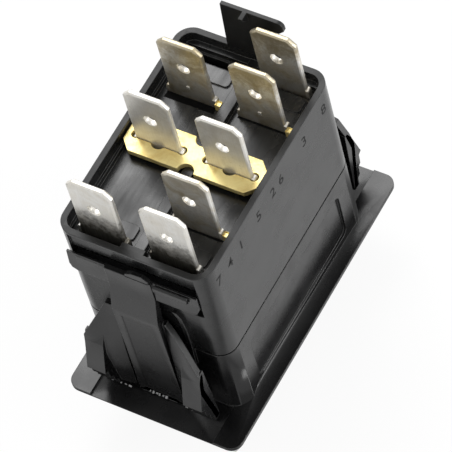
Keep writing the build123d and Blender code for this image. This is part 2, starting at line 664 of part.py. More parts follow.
def make_common_link():
    """The brass plate over both common terminals, with a slot and three round holes for each."""
    half_length = LINK_LENGTH / 2
    half_width = LINK_WIDTH / 2
    plate = block(-half_length, half_length, -half_width, half_width, LINK_BOTTOM, LINK_TOP)
    plate = chamfer(plate.edges().filter_by(Axis.Z), LINK_CHAMFER)
    for y in (-half_width, half_width):
        plate -= upright_cylinder(0, y, LINK_NOTCH_RADIUS, LINK_BOTTOM - 1, LINK_TOP + 1)
    slot_half = BLADE_WIDTH / 2 + LINK_SLOT_CLEARANCE
    slot_depth = BLADE_THICKNESS / 2 + LINK_SLOT_CLEARANCE
    for x in (-COLUMN_OFFSET, COLUMN_OFFSET):
        plate -= block(x - slot_half, x + slot_half, -slot_depth, slot_depth, LINK_BOTTOM - 1, LINK_TOP + 1)
        plate -= upright_cylinder(x, 0, LINK_CENTRE_HOLE_RADIUS, LINK_BOTTOM - 1, LINK_TOP + 1)
        for end in (-slot_half, slot_half):
            plate -= upright_cylinder(x + end, 0, LINK_END_HOLE_RADIUS, LINK_BOTTOM - 1, LINK_TOP + 1)
    return plate


def rocker_end_reach(z):
    """How far the rocker's end face reaches along Y at a height, on a slope of the rocker's own tilt."""
    return ROCKER_LENGTH / 2 - (ROCKER_SKIRT_END - z) * tan(radians(ROCKER_TILT))


def rocker_outline(inset):
    """The rocker's side outline as (y, z) points, or the same outline moved in by a wall."""
    end_bottom = rocker_end_reach(ROCKER_SKIRT_END) - inset
    end_top = rocker_end_reach(ROCKER_PEAK) - inset
    bottom = ROCKER_SKIRT_END + (1 if inset else 0)
    return [
        (-end_bottom, bottom),
        (-end_top, ROCKER_PEAK + inset),
        (0, ROCKER_MIDDLE + inset),
        (end_top, ROCKER_PEAK + inset),
        (end_bottom, bottom),
    ]


def rocker_top_at(y):
    """Height of the rocker's front surface at a place along Y."""
    return ROCKER_MIDDLE + (ROCKER_PEAK - ROCKER_MIDDLE) * abs(y) / rocker_end_reach(ROCKER_PEAK)


def paddle_tilt():
    """Slope of each half of the rocker's front surface, in degrees."""
    return degrees(atan2(ROCKER_MIDDLE - ROCKER_PEAK, rocker_end_reach(ROCKER_PEAK)))


def lens_frame(side):
    """A place on the rocker's front surface at a lens, with its own Z pointing into the rocker."""
    y = side * LENS_OFFSET
    return Pos(0, y, rocker_top_at(y)) * Rot(-side * paddle_tilt(), 0, 0)


def make_rocker():
    """The rocker: hollow cap with two paddles, legs with trunnions, and guide tubes for the plungers."""
    half_width = ROCKER_WIDTH / 2
    cap = side_profile(rocker_outline(0), -half_width, half_width)
    crown = [e for e in cap.edges() if e.center().Z < ROCKER_MIDDLE + 0.1 and abs(e.center().X) > 1]
    ends = [e for e in cap.edges().filter_by(Axis.X) if e.center().Z < ROCKER_MIDDLE - 1]
    cap = fillet(list(set(crown + ends)), ROCKER_EDGE)
    cap -= side_profile(rocker_outline(ROCKER_WALL), -half_width + ROCKER_WALL, half_width - ROCKER_WALL)
    relief = ROCKER_RELIEF_LENGTH / 2
    cap -= block(-half_width - 1, half_width + 1, -relief, relief, ROCKER_SIDE_RELIEF, ROCKER_SKIRT_END + 1)
    ceiling = ROCKER_MIDDLE + ROCKER_WALL / 2
    half_leg = LEG_WIDTH / 2
    leg_points = [(-half_leg, ceiling), (half_leg, ceiling), (half_leg, LEG_END), (-half_leg, LEG_END)]
    for side in (-1, 1):
        x0, x1 = sorted((side * LEG_OUTER, side * (LEG_OUTER - LEG_THICKNESS)))
        leg = side_profile(leg_points, x0, x1)
        tips = [e for e in leg.edges().filter_by(Axis.X) if e.center().Z > LEG_END - 0.1]
        cap += fillet(tips, LEG_WIDTH * 0.25)
        t0, t1 = sorted((side * (LEG_OUTER - LEG_THICKNESS), side * (EAR_OUTER - TRUNNION_END_GAP)))
        cap += cross_cylinder(0, ROCKER_PIVOT, TRUNNION_RADIUS, t0, t1)
        x = side * COLUMN_OFFSET
        cap += upright_cylinder(x, 0, TUBE_RADIUS, ceiling, TUBE_END)
        cap -= upright_cylinder(x, 0, TUBE_BORE, TUBE_FLOOR, TUBE_END + 1)
        seat = lens_frame(side)
        half_w = LENS_WIDTH / 2 + LENS_FIT
        half_l = LENS_LENGTH / 2 + LENS_FIT
        cap -= seat * block(-half_w, half_w, -half_l, half_l, -1, LENS_DEPTH + 1)
    return cap


def make_lens(side):
    """A clear bar that fills the rocker's window, with a lip behind the wall."""
    half_w = LENS_WIDTH / 2
    half_l = LENS_LENGTH / 2
    bar = block(-half_w, half_w, -half_l, half_l, 0, LENS_DEPTH)
    front = bar.faces().sort_by(Axis.Z)[0].edges()
    bar = chamfer(front, LENS_FIT * 2)
    lip_half_w = half_w + LENS_FLANGE
    lip_half_l = half_l + LENS_FLANGE
    lip = block(-lip_half_w, lip_half_w, -lip_half_l, lip_half_l, ROCKER_WALL, ROCKER_WALL + LENS_FLANGE_DEPTH)
    return lens_frame(side) * (bar + lip)


def make_plunger(x):
    """A round-nosed plunger with a spigot for its spring."""
    nose_centre = PLUNGER_TIP - PLUNGER_RADIUS
    body = upright_cylinder(x, 0, PLUNGER_RADIUS, PLUNGER_BACK, nose_centre)
    body += Pos(x, 0, nose_centre) * Sphere(PLUNGER_RADIUS)
    return body + upright_cylinder(x, 0, SPIGOT_RADIUS, PLUNGER_BACK - SPIGOT_LENGTH, PLUNGER_BACK)


def make_plunger_spring(x):
    """A coil spring between the tube's floor and the plunger's back."""
    bottom = TUBE_FLOOR + SPRING_WIRE / 2 + SPRING_SEAT_GAP
    top = PLUNGER_BACK - SPRING_WIRE / 2 - SPRING_SEAT_GAP
    height = top - bottom
    path = Helix(height / SPRING_TURNS, height, SPRING_DIAMETER / 2)
    section = Plane(origin=path @ 0, z_dir=path % 0) * RegularPolygon(SPRING_WIRE / 2, 8)
    return Pos(x, 0, bottom) * sweep(section, path=path, is_frenet=True)


def wire(points):
    """A square wire through points that turn at right angles, with its corners filled."""
    half = LEAD_WIDTH / 2
    solid = None
    for a, b in zip(points, points[1:]):
        low = [min(p, q) - half for p, q in zip(a, b)]
        high = [max(p, q) + half for p, q in zip(a, b)]
        piece = block(low[0], high[0], low[1], high[1], low[2], high[2])
        solid = piece if solid is None else solid + piece
    return solid


def make_lamp(side, other_side_row):
    """A small domed lamp on its boss, with one lead to the lamp terminal and one to the row given."""
    y = side * LAMP_OFFSET
    rim_front = LAMP_BOSS_END - LAMP_RIM_HEIGHT
    dome_centre = LAMP_BOSS_END - LAMP_BODY_LENGTH + LAMP_RADIUS
    lamp = upright_cylinder(0, y, LAMP_RADIUS, dome_centre, rim_front)
    lamp += Pos(0, y, dome_centre) * Sphere(LAMP_RADIUS)
    lamp += upright_cylinder(0, y, LAMP_RIM_RADIUS, rim_front, LAMP_BOSS_END)
    half = LEAD_WIDTH / 2
    for x_side, row in ((1, LAMP_ROW), (-1, other_side_row)):
        gap = BLADE_THICKNESS / 2 + half
        touch = row - gap if row > LAMP_OFFSET else row + gap
        x = x_side * LEAD_SPREAD
        x_touch = x_side * LEAD_TOUCH_SPREAD
        route = [
            (x, y, LAMP_BOSS_END),
            (x, y, LEAD_RUN_HEIGHT),
            (x_touch, y, LEAD_RUN_HEIGHT),
            (x_touch, side * touch, LEAD_RUN_HEIGHT),
        ]
        lamp += wire(route)
    return lamp


def build_all():
    shapes = {
        "base_housing": make_base_housing(),
        "mounting_bracket": make_mounting_bracket(),
        "rocker": make_rocker(),
        "lens_near": make_lens(-1),
        "lens_far": make_lens(1),
        "common_link": make_common_link(),
        "lamp_near": make_lamp(-1, LAMP_ROW),
        "lamp_far": make_lamp(1, THROW_ROW),
        "terminal_lamp_near_left": make_lamp_terminal(-COLUMN_OFFSET, -LAMP_ROW),
        "terminal_lamp_near_right": make_lamp_terminal(COLUMN_OFFSET, -LAMP_ROW),
        "terminal_lamp_far_right": make_lamp_terminal(COLUMN_OFFSET, LAMP_ROW),
        "terminal_throw_far_left": make_throw_terminal(-COLUMN_OFFSET, 1),
        "terminal_throw_far_right": make_throw_terminal(COLUMN_OFFSET, 1),
        "terminal_throw_near_right": make_throw_terminal(COLUMN_OFFSET, -1),
        "fixed_contact_far_left": make_fixed_contact(-COLUMN_OFFSET, 1),
        "fixed_contact_far_right": make_fixed_contact(COLUMN_OFFSET, 1),
        "fixed_contact_near_right": make_fixed_contact(COLUMN_OFFSET, -1),
    }
    for name, x in (("left", -COLUMN_OFFSET), ("right", COLUMN_OFFSET)):
        shapes["terminal_common_" + name] = make_common_terminal(x)
        shapes["seesaw_" + name] = make_seesaw(x)
        shapes["moving_contact_near_" + name] = make_moving_contact(x, -1)
        shapes["moving_contact_far_" + name] = make_moving_contact(x, 1)
        shapes["plunger_" + name] = make_plunger(x)
        shapes["plunger_spring_" + name] = make_plunger_spring(x)
    return shapes


def main():
    os.makedirs("parts", exist_ok=True)
    for node, shape in build_all().items():
        export_step(shape, "parts/" + node + ".step")


main()
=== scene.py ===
"""Dresses the snap-in panel rocker switch for its picture: terminals up, bezel down over a pale floor.

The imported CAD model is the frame. Its plain solids get their finishes here, and pieces that need finer forms
(rounded edges, the bracket's latches, brass stakes, digits) are made here and ride on the same bodies.
Everything is in metres, but outlines are in millimetres until put_at makes a point of them.
"""

import json
import math

import bmesh
import bpy
from bpy.props import FloatProperty, FloatVectorProperty, PointerProperty
from bpy.types import Operator, Panel, PropertyGroup
from mathutils import Matrix, Vector

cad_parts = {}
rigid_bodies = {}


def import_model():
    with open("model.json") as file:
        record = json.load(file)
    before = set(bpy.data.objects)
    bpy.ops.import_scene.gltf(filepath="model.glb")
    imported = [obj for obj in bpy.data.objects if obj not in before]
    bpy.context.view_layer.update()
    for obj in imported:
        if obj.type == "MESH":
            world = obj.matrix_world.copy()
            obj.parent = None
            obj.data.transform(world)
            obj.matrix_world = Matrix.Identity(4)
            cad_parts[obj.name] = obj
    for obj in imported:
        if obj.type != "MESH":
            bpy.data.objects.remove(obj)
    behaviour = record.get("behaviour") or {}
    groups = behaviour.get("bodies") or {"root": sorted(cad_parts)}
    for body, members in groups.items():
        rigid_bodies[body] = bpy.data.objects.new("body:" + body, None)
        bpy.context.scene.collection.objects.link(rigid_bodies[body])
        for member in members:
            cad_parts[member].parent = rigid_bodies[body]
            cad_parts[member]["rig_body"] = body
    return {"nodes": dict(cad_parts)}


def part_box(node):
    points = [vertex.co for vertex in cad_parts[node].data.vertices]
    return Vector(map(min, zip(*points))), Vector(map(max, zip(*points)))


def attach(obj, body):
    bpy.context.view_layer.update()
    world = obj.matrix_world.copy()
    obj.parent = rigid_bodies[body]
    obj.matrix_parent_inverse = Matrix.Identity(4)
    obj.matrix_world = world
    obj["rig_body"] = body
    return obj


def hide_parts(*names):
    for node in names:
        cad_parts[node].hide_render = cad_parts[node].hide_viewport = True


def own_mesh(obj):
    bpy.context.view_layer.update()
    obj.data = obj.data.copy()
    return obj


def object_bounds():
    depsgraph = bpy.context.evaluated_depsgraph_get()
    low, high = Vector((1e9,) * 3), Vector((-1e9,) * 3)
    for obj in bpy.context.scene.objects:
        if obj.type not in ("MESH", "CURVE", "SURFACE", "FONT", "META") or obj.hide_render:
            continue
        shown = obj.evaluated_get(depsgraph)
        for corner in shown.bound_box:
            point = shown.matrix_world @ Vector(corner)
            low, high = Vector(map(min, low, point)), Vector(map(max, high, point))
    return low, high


bl_info = {
    "name": "Panel rocker switch",
    "version": (1, 0, 0),
    "blender": (4, 5, 0),
    "location": "3D View > Sidebar > Switch",
    "description": "Finishes, trim and stage for a snap-in panel rocker switch",
    "category": "Object",
}

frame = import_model()
CAD_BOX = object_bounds()

MM = 0.001
WHITE = (1.0, 1.0, 1.0, 1.0)
BLADE_PLACES = (
    "lamp_near_left",
    "lamp_near_right",
    "lamp_far_right",
    "throw_far_left",
    "throw_far_right",
    "throw_near_right",
    "common_left",
    "common_right",
)

# Limits for reading a mesh, in metres and degrees
MERGE_DISTANCE = 1e-6
SAME_PLACE = 1e-7
SMALLEST_PANEL = 2e-6  # in square metres
FLAT_ANGLE = 0.6
SMOOTH_ANGLE = 32.0
STAMPED_ANGLE = 40.0

# The sockets of a Mix node set to colours
MIX_FACTOR, MIX_FIRST, MIX_SECOND, MIX_RESULT = 0, 6, 7, 2

# Finishes, in metres
NOISE_SPAN = (0.3, 0.7)
MASK_FADE = 0.0002
DARK_FOOT = (0.0290, 0.0328)  # heights where a blade's dark foot fades out
BROWN_TOP = (0.0340, 0.0370)  # heights where a blade's brown top comes in
FOOT_REACH = 0.0079  # a blade's foot is dark out to here
BLADE_WEAR = {  # shares of stain, dark foot and brown top, and how metallic the plate is
    "near": (0.25, 0.95, 0.0, 0.6),
    "common": (0.2, 0.0, 0.1, 0.5),
    "throw": (0.75, 0.5, 0.25, 0.72),
    "far": (0.8, 0.5, 0.85, 0.78),
    "stop": (0.1, 0.3, 0.0, 0.7),
}
CASE_GLOSS = (0.20, 0.32)
BRACKET_GLOSS = (0.20, 0.34)
ROCKER_GLOSS = (0.26, 0.42)

# Stage: the floor's white, and the strip before the switch where painted shade darkens the floor in
# reflections
FLOOR_GLOW = 1.04
FLOOR_WHITE_SHARE = 0.88
SHADE_STRIP_GLOW = 0.3
SHADE_STRIP_START = (-0.0342, -0.0282)
SHADE_STRIP_END = (-0.0252, -0.0202)
KEY_LAMP = ((-0.22, 0.26, 0.42), 0.30)  # place and width
SIDE_LAMP = ((0.40, 0.10, 0.16), 0.22)
LAMP_AIM = (0.0, 0.0, 0.015)

# Bracket, in millimetres: the boxes cut from its packed ends, and the parts of its latches
CUT_WIDTH = (-12.0, 12.0)
CUT_END = 23.0
CUT_HEIGHT = (0.01, 30.0)
OVERLAP = 0.1  # reach of one form into or past the next
STEM_FOOT = -0.3
STEM_THICK = 1.2
CORE_INSET = 0.6
CORE_TOP = 12.2
BAR_GROOVE = 0.12
BAR_CORNER = 1.0
BACKING_ENDS = (-8.0, 8.0)
BOSS_OUTLINE = ((-0.9, -0.1), (2.3, -0.1), (2.4, 0.5), (1.6, 1.1), (0.2, 1.0), (-0.8, 0.5))
LIP_OUTLINE = ((-0.3, -0.85), (0.1, -1.15), (0.1, -0.1), (-0.25, -0.2))
LIP_ENDS = (2.95, 7.6)
WING_STEPS = 9
WING_TOP_REACH = 17.5
WING_LEVELS = (  # reach at the inner edge, how far the outer edge curls past it, and height
    (17.85, 1.5, 11.2),
    (18.0, 1.9, 8.2),
    (18.2, 0.4, 0.5),
)
NEAR_LEFT_CUT = (3.4, 11.2)  # width of the wing's cut corner, and height of its outer edge
NEAR_RIGHT_CUT = (4.5, 11.2)
FAR_WING_CUT = (1.8, 16.2)
WEB_DEPTH = (-17.4, -16.7)
WEB_FOOT = 13.5
WEB_ENDS = (-0.8, 0.3)
TOOTH_FRONT = ((18.85, 11.6), (19.5, 10.2), (20.75, 5.4), (20.2, 5.1), (20.1, 3.5), (19.55, 3.2))
TOOTH_FOOT = ((19.5, 1.8), (18.95, 1.5), (18.85, 0.3), (17.8, 0.3), (18.3, 11.6))
FINGER_LINE = ((4.6, 20.2), (5.15, 19.2), (5.45, 17.0), (5.45, 14.0), (5.2, 8.5))
FINGER_HALF = 0.28
FINGER_THICK = 0.4
# Crumbs of moulding flash along the foot of the wings, painted pale as glints
GLINT_FOOT = 0.02
GLINT_ROWS = (  # start, end and step along the flange, reach from the middle, and thickness
    (-7.9, -3.9, 0.62, 18.62, 0.12),
    (-2.0, 1.2, 0.46, 18.2, 0.2),
    (3.3, 7.3, 0.9, 18.5, 0.1),
)

# Recess, in millimetres: stakes and stops by their middle; the sheets of painted shade that stand for the
# slots by left, right, blade side and share of the full width
STAKE_PLACES = ((-1.15, 7.9), (8.7, 7.75), (8.75, -8.2))
STAKE_FOOT = 26.95
STAKE_RIM, STAKE_HOLLOW = 0.2, 0.3  # shares of a stake's width
SLOT_SHADE_PLACES = (
    (-8.45, -1.5, 7.8, 1.0),
    (1.45, 8.45, 7.8, 0.3),
    (1.45, 8.45, -8.6, 0.3),
    (1.45, 8.45, -14.1, 0.3),
)
SLOT_SHADE_HEIGHT = (26.98, 27.02)
STOP_PLACES = (-5.0, 4.95)
STOP_HALF = 0.22
STOP_HEIGHT = (29.3, 29.75)
STOP_DEPTH = (7.7, 7.85)

# The digits and their places along the right wall, in millimetres
DIGITS = "83625147"
DIGIT_PLACES = (12.9, 7.9, 2.0, 0.0, -3.6, -8.0, -10.7, -13.4)


# ---------------- sizes and colours


def length(name, description, millimetres):
    """A size in metres with its name and what it is."""
    return FloatProperty(name=name, description=description, default=millimetres * MM, unit="LENGTH")


def amount(name, description, default, unit="NONE"):
    """A number with its name, what it is and its unit."""
    return FloatProperty(name=name, description=description, default=default, unit=unit)


def colour(name, description, red, green, blue):
    """A colour in scene linear values with its name and what it is."""
    return FloatVectorProperty(
        name=name,
        description=description,
        default=(red, green, blue),
        subtype="COLOR",
        min=0.0,
        max=1.0,
    )


class SwitchSizes(PropertyGroup):
    """Sizes of the finer surfaces, the trim and the numbers."""

    mould_edge: length("Moulding edge", "Rounding of the moulded edges", 0.13)
    metal_edge: length("Blade edge", "Rounding of the stamped metal edges", 0.06)
    digit_height: length("Digit height", "Height of the position digits on the right wall", 2.3)
    digit_line: length("Digit line", "Height above the panel face of the middle of the digits", 26.4)
    digit_depth: length("Digit depth", "Thickness of the digits, half of it outside the wall", 0.02)
    digit_weight: length("Digit weight", "How much the strokes of the digits are widened", 0.01)
    plunger_stroke: length("Plunger stroke", "How far a plunger slides into the rocker", 1.0)
    stake_size: length("Stake size", "Side of the square brass stake beside a throw blade", 0.75)
    stake_top: length("Stake top", "Height of a stake's top above the panel face", 28.1)
    # Painted shade: the slot is a flat dark sheet on the floor, not a cut
    painted_slot_width: length("Slot width", "Width of the dark slot before a throw blade", 0.95)
    rim_top: length("Rim top", "Height of the housing's rim above the panel face", 29.4)
    recess_half_width: length("Recess half width", "Half the width of the sunk rear floor", 9.4)
    recess_half_length: length("Recess half length", "Half the length of the sunk rear floor", 15.1)


class BracketSizes(PropertyGroup):
    """Sizes of the bracket's stems, cross bars and spring wings."""

    face: length("Stem face", "Distance of the stem's face from the middle", 18.2)
    wall: length("End wall", "Where the packed ends are cut off at the end wall", 16.15)
    stem_left: length("Stem left", "Left edge of the stem", -3.4)
    stem_right: length("Stem right", "Right edge of the stem", 3.0)
    stem_shift: length("Stem shift", "How far the top of the stem stands to the left", 0.4)
    shoulder: length("Stem shoulder", "Height at which the stem starts to lean in", 18.8)
    panel_margin: length("Panel margin", "Width of the stem's border round its sunk panel", 1.5)
    panel_depth: length("Panel depth", "Depth of the stem's sunk panel", 0.12)
    bar_face: length("Bar face", "Distance of the bar's face from the middle", 16.75)
    bar_back: length("Bar back", "Distance of the bar's back from the middle", 16.2)
    bar_bottom: length("Bar bottom", "Height of the bar's lower edge", 22.2)
    bar_top: length("Bar top", "Height of the bar's upper edge", 25.6)
    bar_lean: length("Bar lean", "How far the bar's face leans in at its upper edge", 0.28)
    bar_end: length("Bar end", "How far the near bar reaches to the right", 8.7)
    bar_left: length("Bar left end", "How far the near bar reaches to the left", 9.25)
    far_bar_end: length("Far bar end", "How far the far bar reaches to each side", 8.4)
    wing_inner: length("Wing inner edge", "Distance of its inner edge from the middle of the wings", 3.5)
    wing_outer: length("Wing outer edge", "Distance of its outer edge from the middle of the wings", 8.15)
    wing_shift: length("Wing shift", "How far the near wings stand to the left", 0.3)
    wing_top: length("Wing top", "Height of a wing's top", 17.9)
    wing_thick: length("Wing thickness", "Thickness of a wing", 0.8)
    tooth_width: length("Tooth width", "Width of the stepped tooth on a wing", 2.6)


class SwitchColours(PropertyGroup):
    """Colours of the finishes."""

    case: colour("Case", "Black plastic of the base housing", 0.012, 0.0123, 0.0125)
    bracket: colour("Bracket", "Black plastic of the mounting bracket", 0.0075, 0.0075, 0.0078)
    rocker: colour("Rocker", "Black plastic of the rocker", 0.012, 0.012, 0.012)
    # Lighter colour of the rubbed edges, both wear and a painted edge highlight, and of the dust
    wear_and_edge_highlight: colour("Worn edge", "Rubbed plastic along the edges", 0.17, 0.17, 0.168)
    tin: colour("Tin", "Tin plate of the blades", 0.90, 0.885, 0.84)
    stain: colour("Stain", "Yellow brown stain on the tin plate", 0.52, 0.43, 0.25)
    brass: colour("Brass", "Brass of the link", 0.95, 0.80, 0.36)
    tarnish: colour("Tarnish", "Darker places on the brass", 0.70, 0.50, 0.16)
    copper: colour("Copper", "Copper of the see-saw contacts", 0.78, 0.42, 0.25)
    silver: colour("Silver", "Silver of the contact rivets", 0.82, 0.81, 0.78)
    spring: colour("Spring steel", "Steel of the plunger springs", 0.55, 0.55, 0.56)
    plunger: colour("Plunger", "White plastic of the plungers", 0.72, 0.71, 0.66)
    lens: colour("Lens", "Clear plastic of the lenses", 0.85, 0.86, 0.86)
    # Pale colour of the flash crumbs, which paints the glints along the foot of the wings
    flash_glint: colour("Flash", "Thin moulding flash along the foot of the wings", 0.55, 0.55, 0.55)
    digit: colour("Digit", "Shade of the engraved digits", 0.004, 0.004, 0.004)
    floor: colour("Floor", "Pale floor", 0.86, 0.86, 0.86)


class SwitchStage(PropertyGroup):
    """The camera, the lamps and the floor."""

    camera_place: FloatVectorProperty(
        name="Camera place",
        description="Where the camera stands",
        default=(0.177094, -0.188306, 0.392516),
        subtype="TRANSLATION",
        unit="LENGTH",
    )
    camera_turn: FloatVectorProperty(
        name="Camera turn",
        description="How the camera is turned",
        default=[math.radians(turn) for turn in (33.009005, 9.503303, 28.742545)],
        subtype="EULER",
        unit="ROTATION",
    )
    camera_lens: amount("Camera lens", "Focal length on a 36 mm sensor, in millimetres", 297.58, "CAMERA")
    floor_drop: length("Floor drop", "How far the floor lies under the rocker at rest", 2.45)
    floor_width: length("Floor width", "Width of the floor", 1600.0)
    world_strength: amount("World strength", "Strength of the soft light from all round", 0.42)
    key_power: amount("Key power", "Power of the large soft lamp in watts", 1.6, "POWER")
    side_power: amount("Side power", "Power of the lamp on the right in watts", 0.8, "POWER")


# ---------------- material helpers


def feed(tree, node, key, value):
    """Sets a node's input, found by its name or number, or joins a socket to it."""
    if isinstance(value, bpy.types.NodeSocket):
        tree.links.new(value, node.inputs[key])
    else:
        node.inputs[key].default_value = value


def put(tree, kind, settings=None, **inputs):
    """Adds a node to a material's tree; each input is a value, or a socket that is joined to it."""
    node = tree.nodes.new("ShaderNode" + kind)
    for name, value in (settings or {}).items():
        setattr(node, name, value)
    for name, value in inputs.items():
        feed(tree, node, name.replace("_", " "), value)
    return node


def sums(tree, operation, first, second=0.0, clamp=False):
    """One step of arithmetic on two values."""
    node = put(tree, "Math", {"operation": operation, "use_clamp": clamp})
    feed(tree, node, 0, first)
    feed(tree, node, 1, second)
    return node.outputs[0]


def times(tree, first, second):
    """One value times another."""
    return sums(tree, "MULTIPLY", first, second)


def mixed(tree, factor, first, second):
    """A colour between two others."""
    node = put(tree, "Mix", {"data_type": "RGBA"})
    feed(tree, node, MIX_FACTOR, factor)
    feed(tree, node, MIX_FIRST, first)
    feed(tree, node, MIX_SECOND, second)
    return node.outputs[MIX_RESULT]


def ranged(tree, value, from_low, from_high, to_low=0.0, to_high=1.0):
    """A value carried from one range to another, and held inside it."""
    node = put(tree, "MapRange", Value=value)
    bounds = {"From Min": from_low, "From Max": from_high, "To Min": to_low, "To Max": to_high}
    for name, bound in bounds.items():
        node.inputs[name].default_value = bound
    return node.outputs["Result"]


def spread(tree, pattern, low=0.0, high=1.0):
    """A noise pattern, from the middle span that it mostly fills, carried to a range."""
    return ranged(tree, pattern, *NOISE_SPAN, low, high)


def object_place(tree):
    """The point on the piece, in metres."""
    return put(tree, "TexCoord").outputs["Object"]


def stretched(tree, place, x, y, z):
    """The point with its axes scaled, for a pattern that runs along one of them."""
    return put(tree, "Mapping", Vector=place, Scale=(x, y, z)).outputs["Vector"]


def noise(tree, place, scale, detail, roughness, distortion=0.0):
    """A soft random pattern."""
    settings = {"Scale": scale, "Detail": detail, "Roughness": roughness, "Distortion": distortion}
    return put(tree, "TexNoise", Vector=place, **settings).outputs["Fac"]


def opaque(rgb):
    """A colour with its alpha."""
    return (rgb[0], rgb[1], rgb[2], 1.0)


def shaded(rgb, factor):
    """A colour made lighter or darker."""
    return tuple(min(1.0, part * factor) for part in rgb[:3]) + (1.0,)


def varied(tree, pattern, rgb, dark, light):
    """A colour that a noise pattern makes darker here and lighter there."""
    return mixed(tree, spread(tree, pattern), shaded(rgb, dark), shaded(rgb, light))


def within(tree, level, axis, half):
    """One where a point is nearer the middle along an axis than a distance, and zero past it."""
    distance = sums(tree, "ABSOLUTE", level.outputs[axis])
    return ranged(tree, distance, half, half + MASK_FADE, 1.0, 0.0)


def one_or(tree, share, value):
    """One where the share is zero, and the value where it is one."""
    return sums(tree, "ADD", 1.0, times(tree, share, sums(tree, "SUBTRACT", value, 1.0)))


def seen_rays(tree):
    """One for rays from the camera, off gloss and through glass, and the Light Path node."""
    path = put(tree, "LightPath")
    seen = sums(tree, "MAXIMUM", path.outputs["Is Camera Ray"], path.outputs["Is Glossy Ray"], True)
    return sums(tree, "MAXIMUM", seen, path.outputs["Is Transmission Ray"], True), path


def emptied(holder):
    """The node tree of a new material or world, with nothing in it."""
    holder.use_nodes = True
    holder.node_tree.nodes.clear()
    return holder.node_tree


def new_finish(name):
    """A new material with its tree, its shader and the point on the piece."""
    material = bpy.data.materials.new(name)
    tree = emptied(material)
    shader = put(tree, "BsdfPrincipled")
    put(tree, "OutputMaterial", Surface=shader.outputs["BSDF"])
    return material, tree, shader, object_place(tree)


def edge_round(tree, radius):
    """The rounded normal of a small edge radius, and how near the point is to such an edge."""
    rounded = put(tree, "Bevel", {"samples": 6}, Radius=radius).outputs["Normal"]
    true = put(tree, "NewGeometry").outputs["Normal"]
    dot = put(tree, "VectorMath", {"operation": "DOT_PRODUCT"})
    feed(tree, dot, 0, rounded)
    feed(tree, dot, 1, true)
    near = ranged(tree, dot.outputs["Value"], 0.80, 0.995, 1.0, 0.0)
    return rounded, near


def bumped(tree, shader, height, strength, distance, normal=None):
    """Raises the surface by a pattern, on top of a rounded normal if there is one."""
    bump = put(tree, "Bump", Strength=strength, Distance=distance, Height=height)
    if normal is not None:
        feed(tree, bump, "Normal", normal)
    feed(tree, shader, "Normal", bump.outputs["Normal"])


# ---------------- finishes


def moulded_plastic(name, rgb, wear_and_edge_highlight, gloss, radius, recess=None):
    """Black moulded plastic: faint flow marks, fine grain, dust, edges lightened as rubbed wear and painted
    highlight and, if asked, a recess.
    """
    material, tree, shader, place = new_finish(name)
    along = stretched(tree, place, 1.0, 0.35, 1.0)
    flow = noise(tree, along, 420.0, detail=5.0, roughness=0.6, distortion=0.8)
    grain = noise(tree, place, 5200.0, detail=3.0, roughness=0.6)
    specks = noise(tree, place, 2600.0, detail=6.0, roughness=0.75)
    smear = noise(tree, place, 260.0, detail=3.0, roughness=0.5)
    rounded, near = edge_round(tree, radius)
    dust = ranged(tree, specks, 0.64, 0.74, 0.0, 0.14)
    dusty = mixed(tree, dust, varied(tree, flow, rgb, 0.78, 1.25), shaded(wear_and_edge_highlight, 0.8))
    # Rubbed wear and painted highlight: edges lighten towards the worn colour
    rubbed_and_highlit = times(tree, near, ranged(tree, specks, 0.35, 0.6, 0.2, 0.8))
    feed(tree, shader, "Base Color", mixed(tree, rubbed_and_highlit, dusty, opaque(wear_and_edge_highlight)))
    rough = spread(tree, smear, *gloss)
    if recess is not None:
        rough = recess_finish(tree, shader, place, rough, *recess)
    feed(tree, shader, "Roughness", rough)
    height = sums(tree, "ADD", times(tree, grain, 0.35), times(tree, flow, 0.9))
    bumped(tree, shader, height, strength=0.30, distance=0.00004, normal=rounded)
    feed(tree, shader, "IOR", 1.45)
    return material


def recess_finish(tree, shader, place, rough, rim_top, half_width, half_length):
    """Brushes the gleam of the recess and dulls the rim round it; gives the roughness with the dull rim."""
    level = put(tree, "SeparateXYZ", Vector=place)
    dull = ranged(tree, level.outputs["Z"], rim_top - MASK_FADE, rim_top)
    inside = times(tree, within(tree, level, "X", half_width), within(tree, level, "Y", half_length))
    brushed = noise(tree, stretched(tree, place, 1.0, 0.10, 1.0), 1100.0, detail=4.0, roughness=0.6)
    broad = noise(tree, place, 150.0, detail=2.0, roughness=0.5)
    fine_lines = ranged(tree, brushed, 0.35, 0.65, 0.75, 1.2)
    broad_lines = ranged(tree, broad, 0.35, 0.65, 0.6, 1.2)
    drawn = times(tree, fine_lines, broad_lines)
    gleam = times(tree, ranged(tree, dull, 0.0, 1.0, 0.5, 0.36), one_or(tree, inside, drawn))
    feed(tree, shader, "Specular IOR Level", gleam)
    return sums(tree, "ADD", rough, times(tree, dull, 0.15), True)


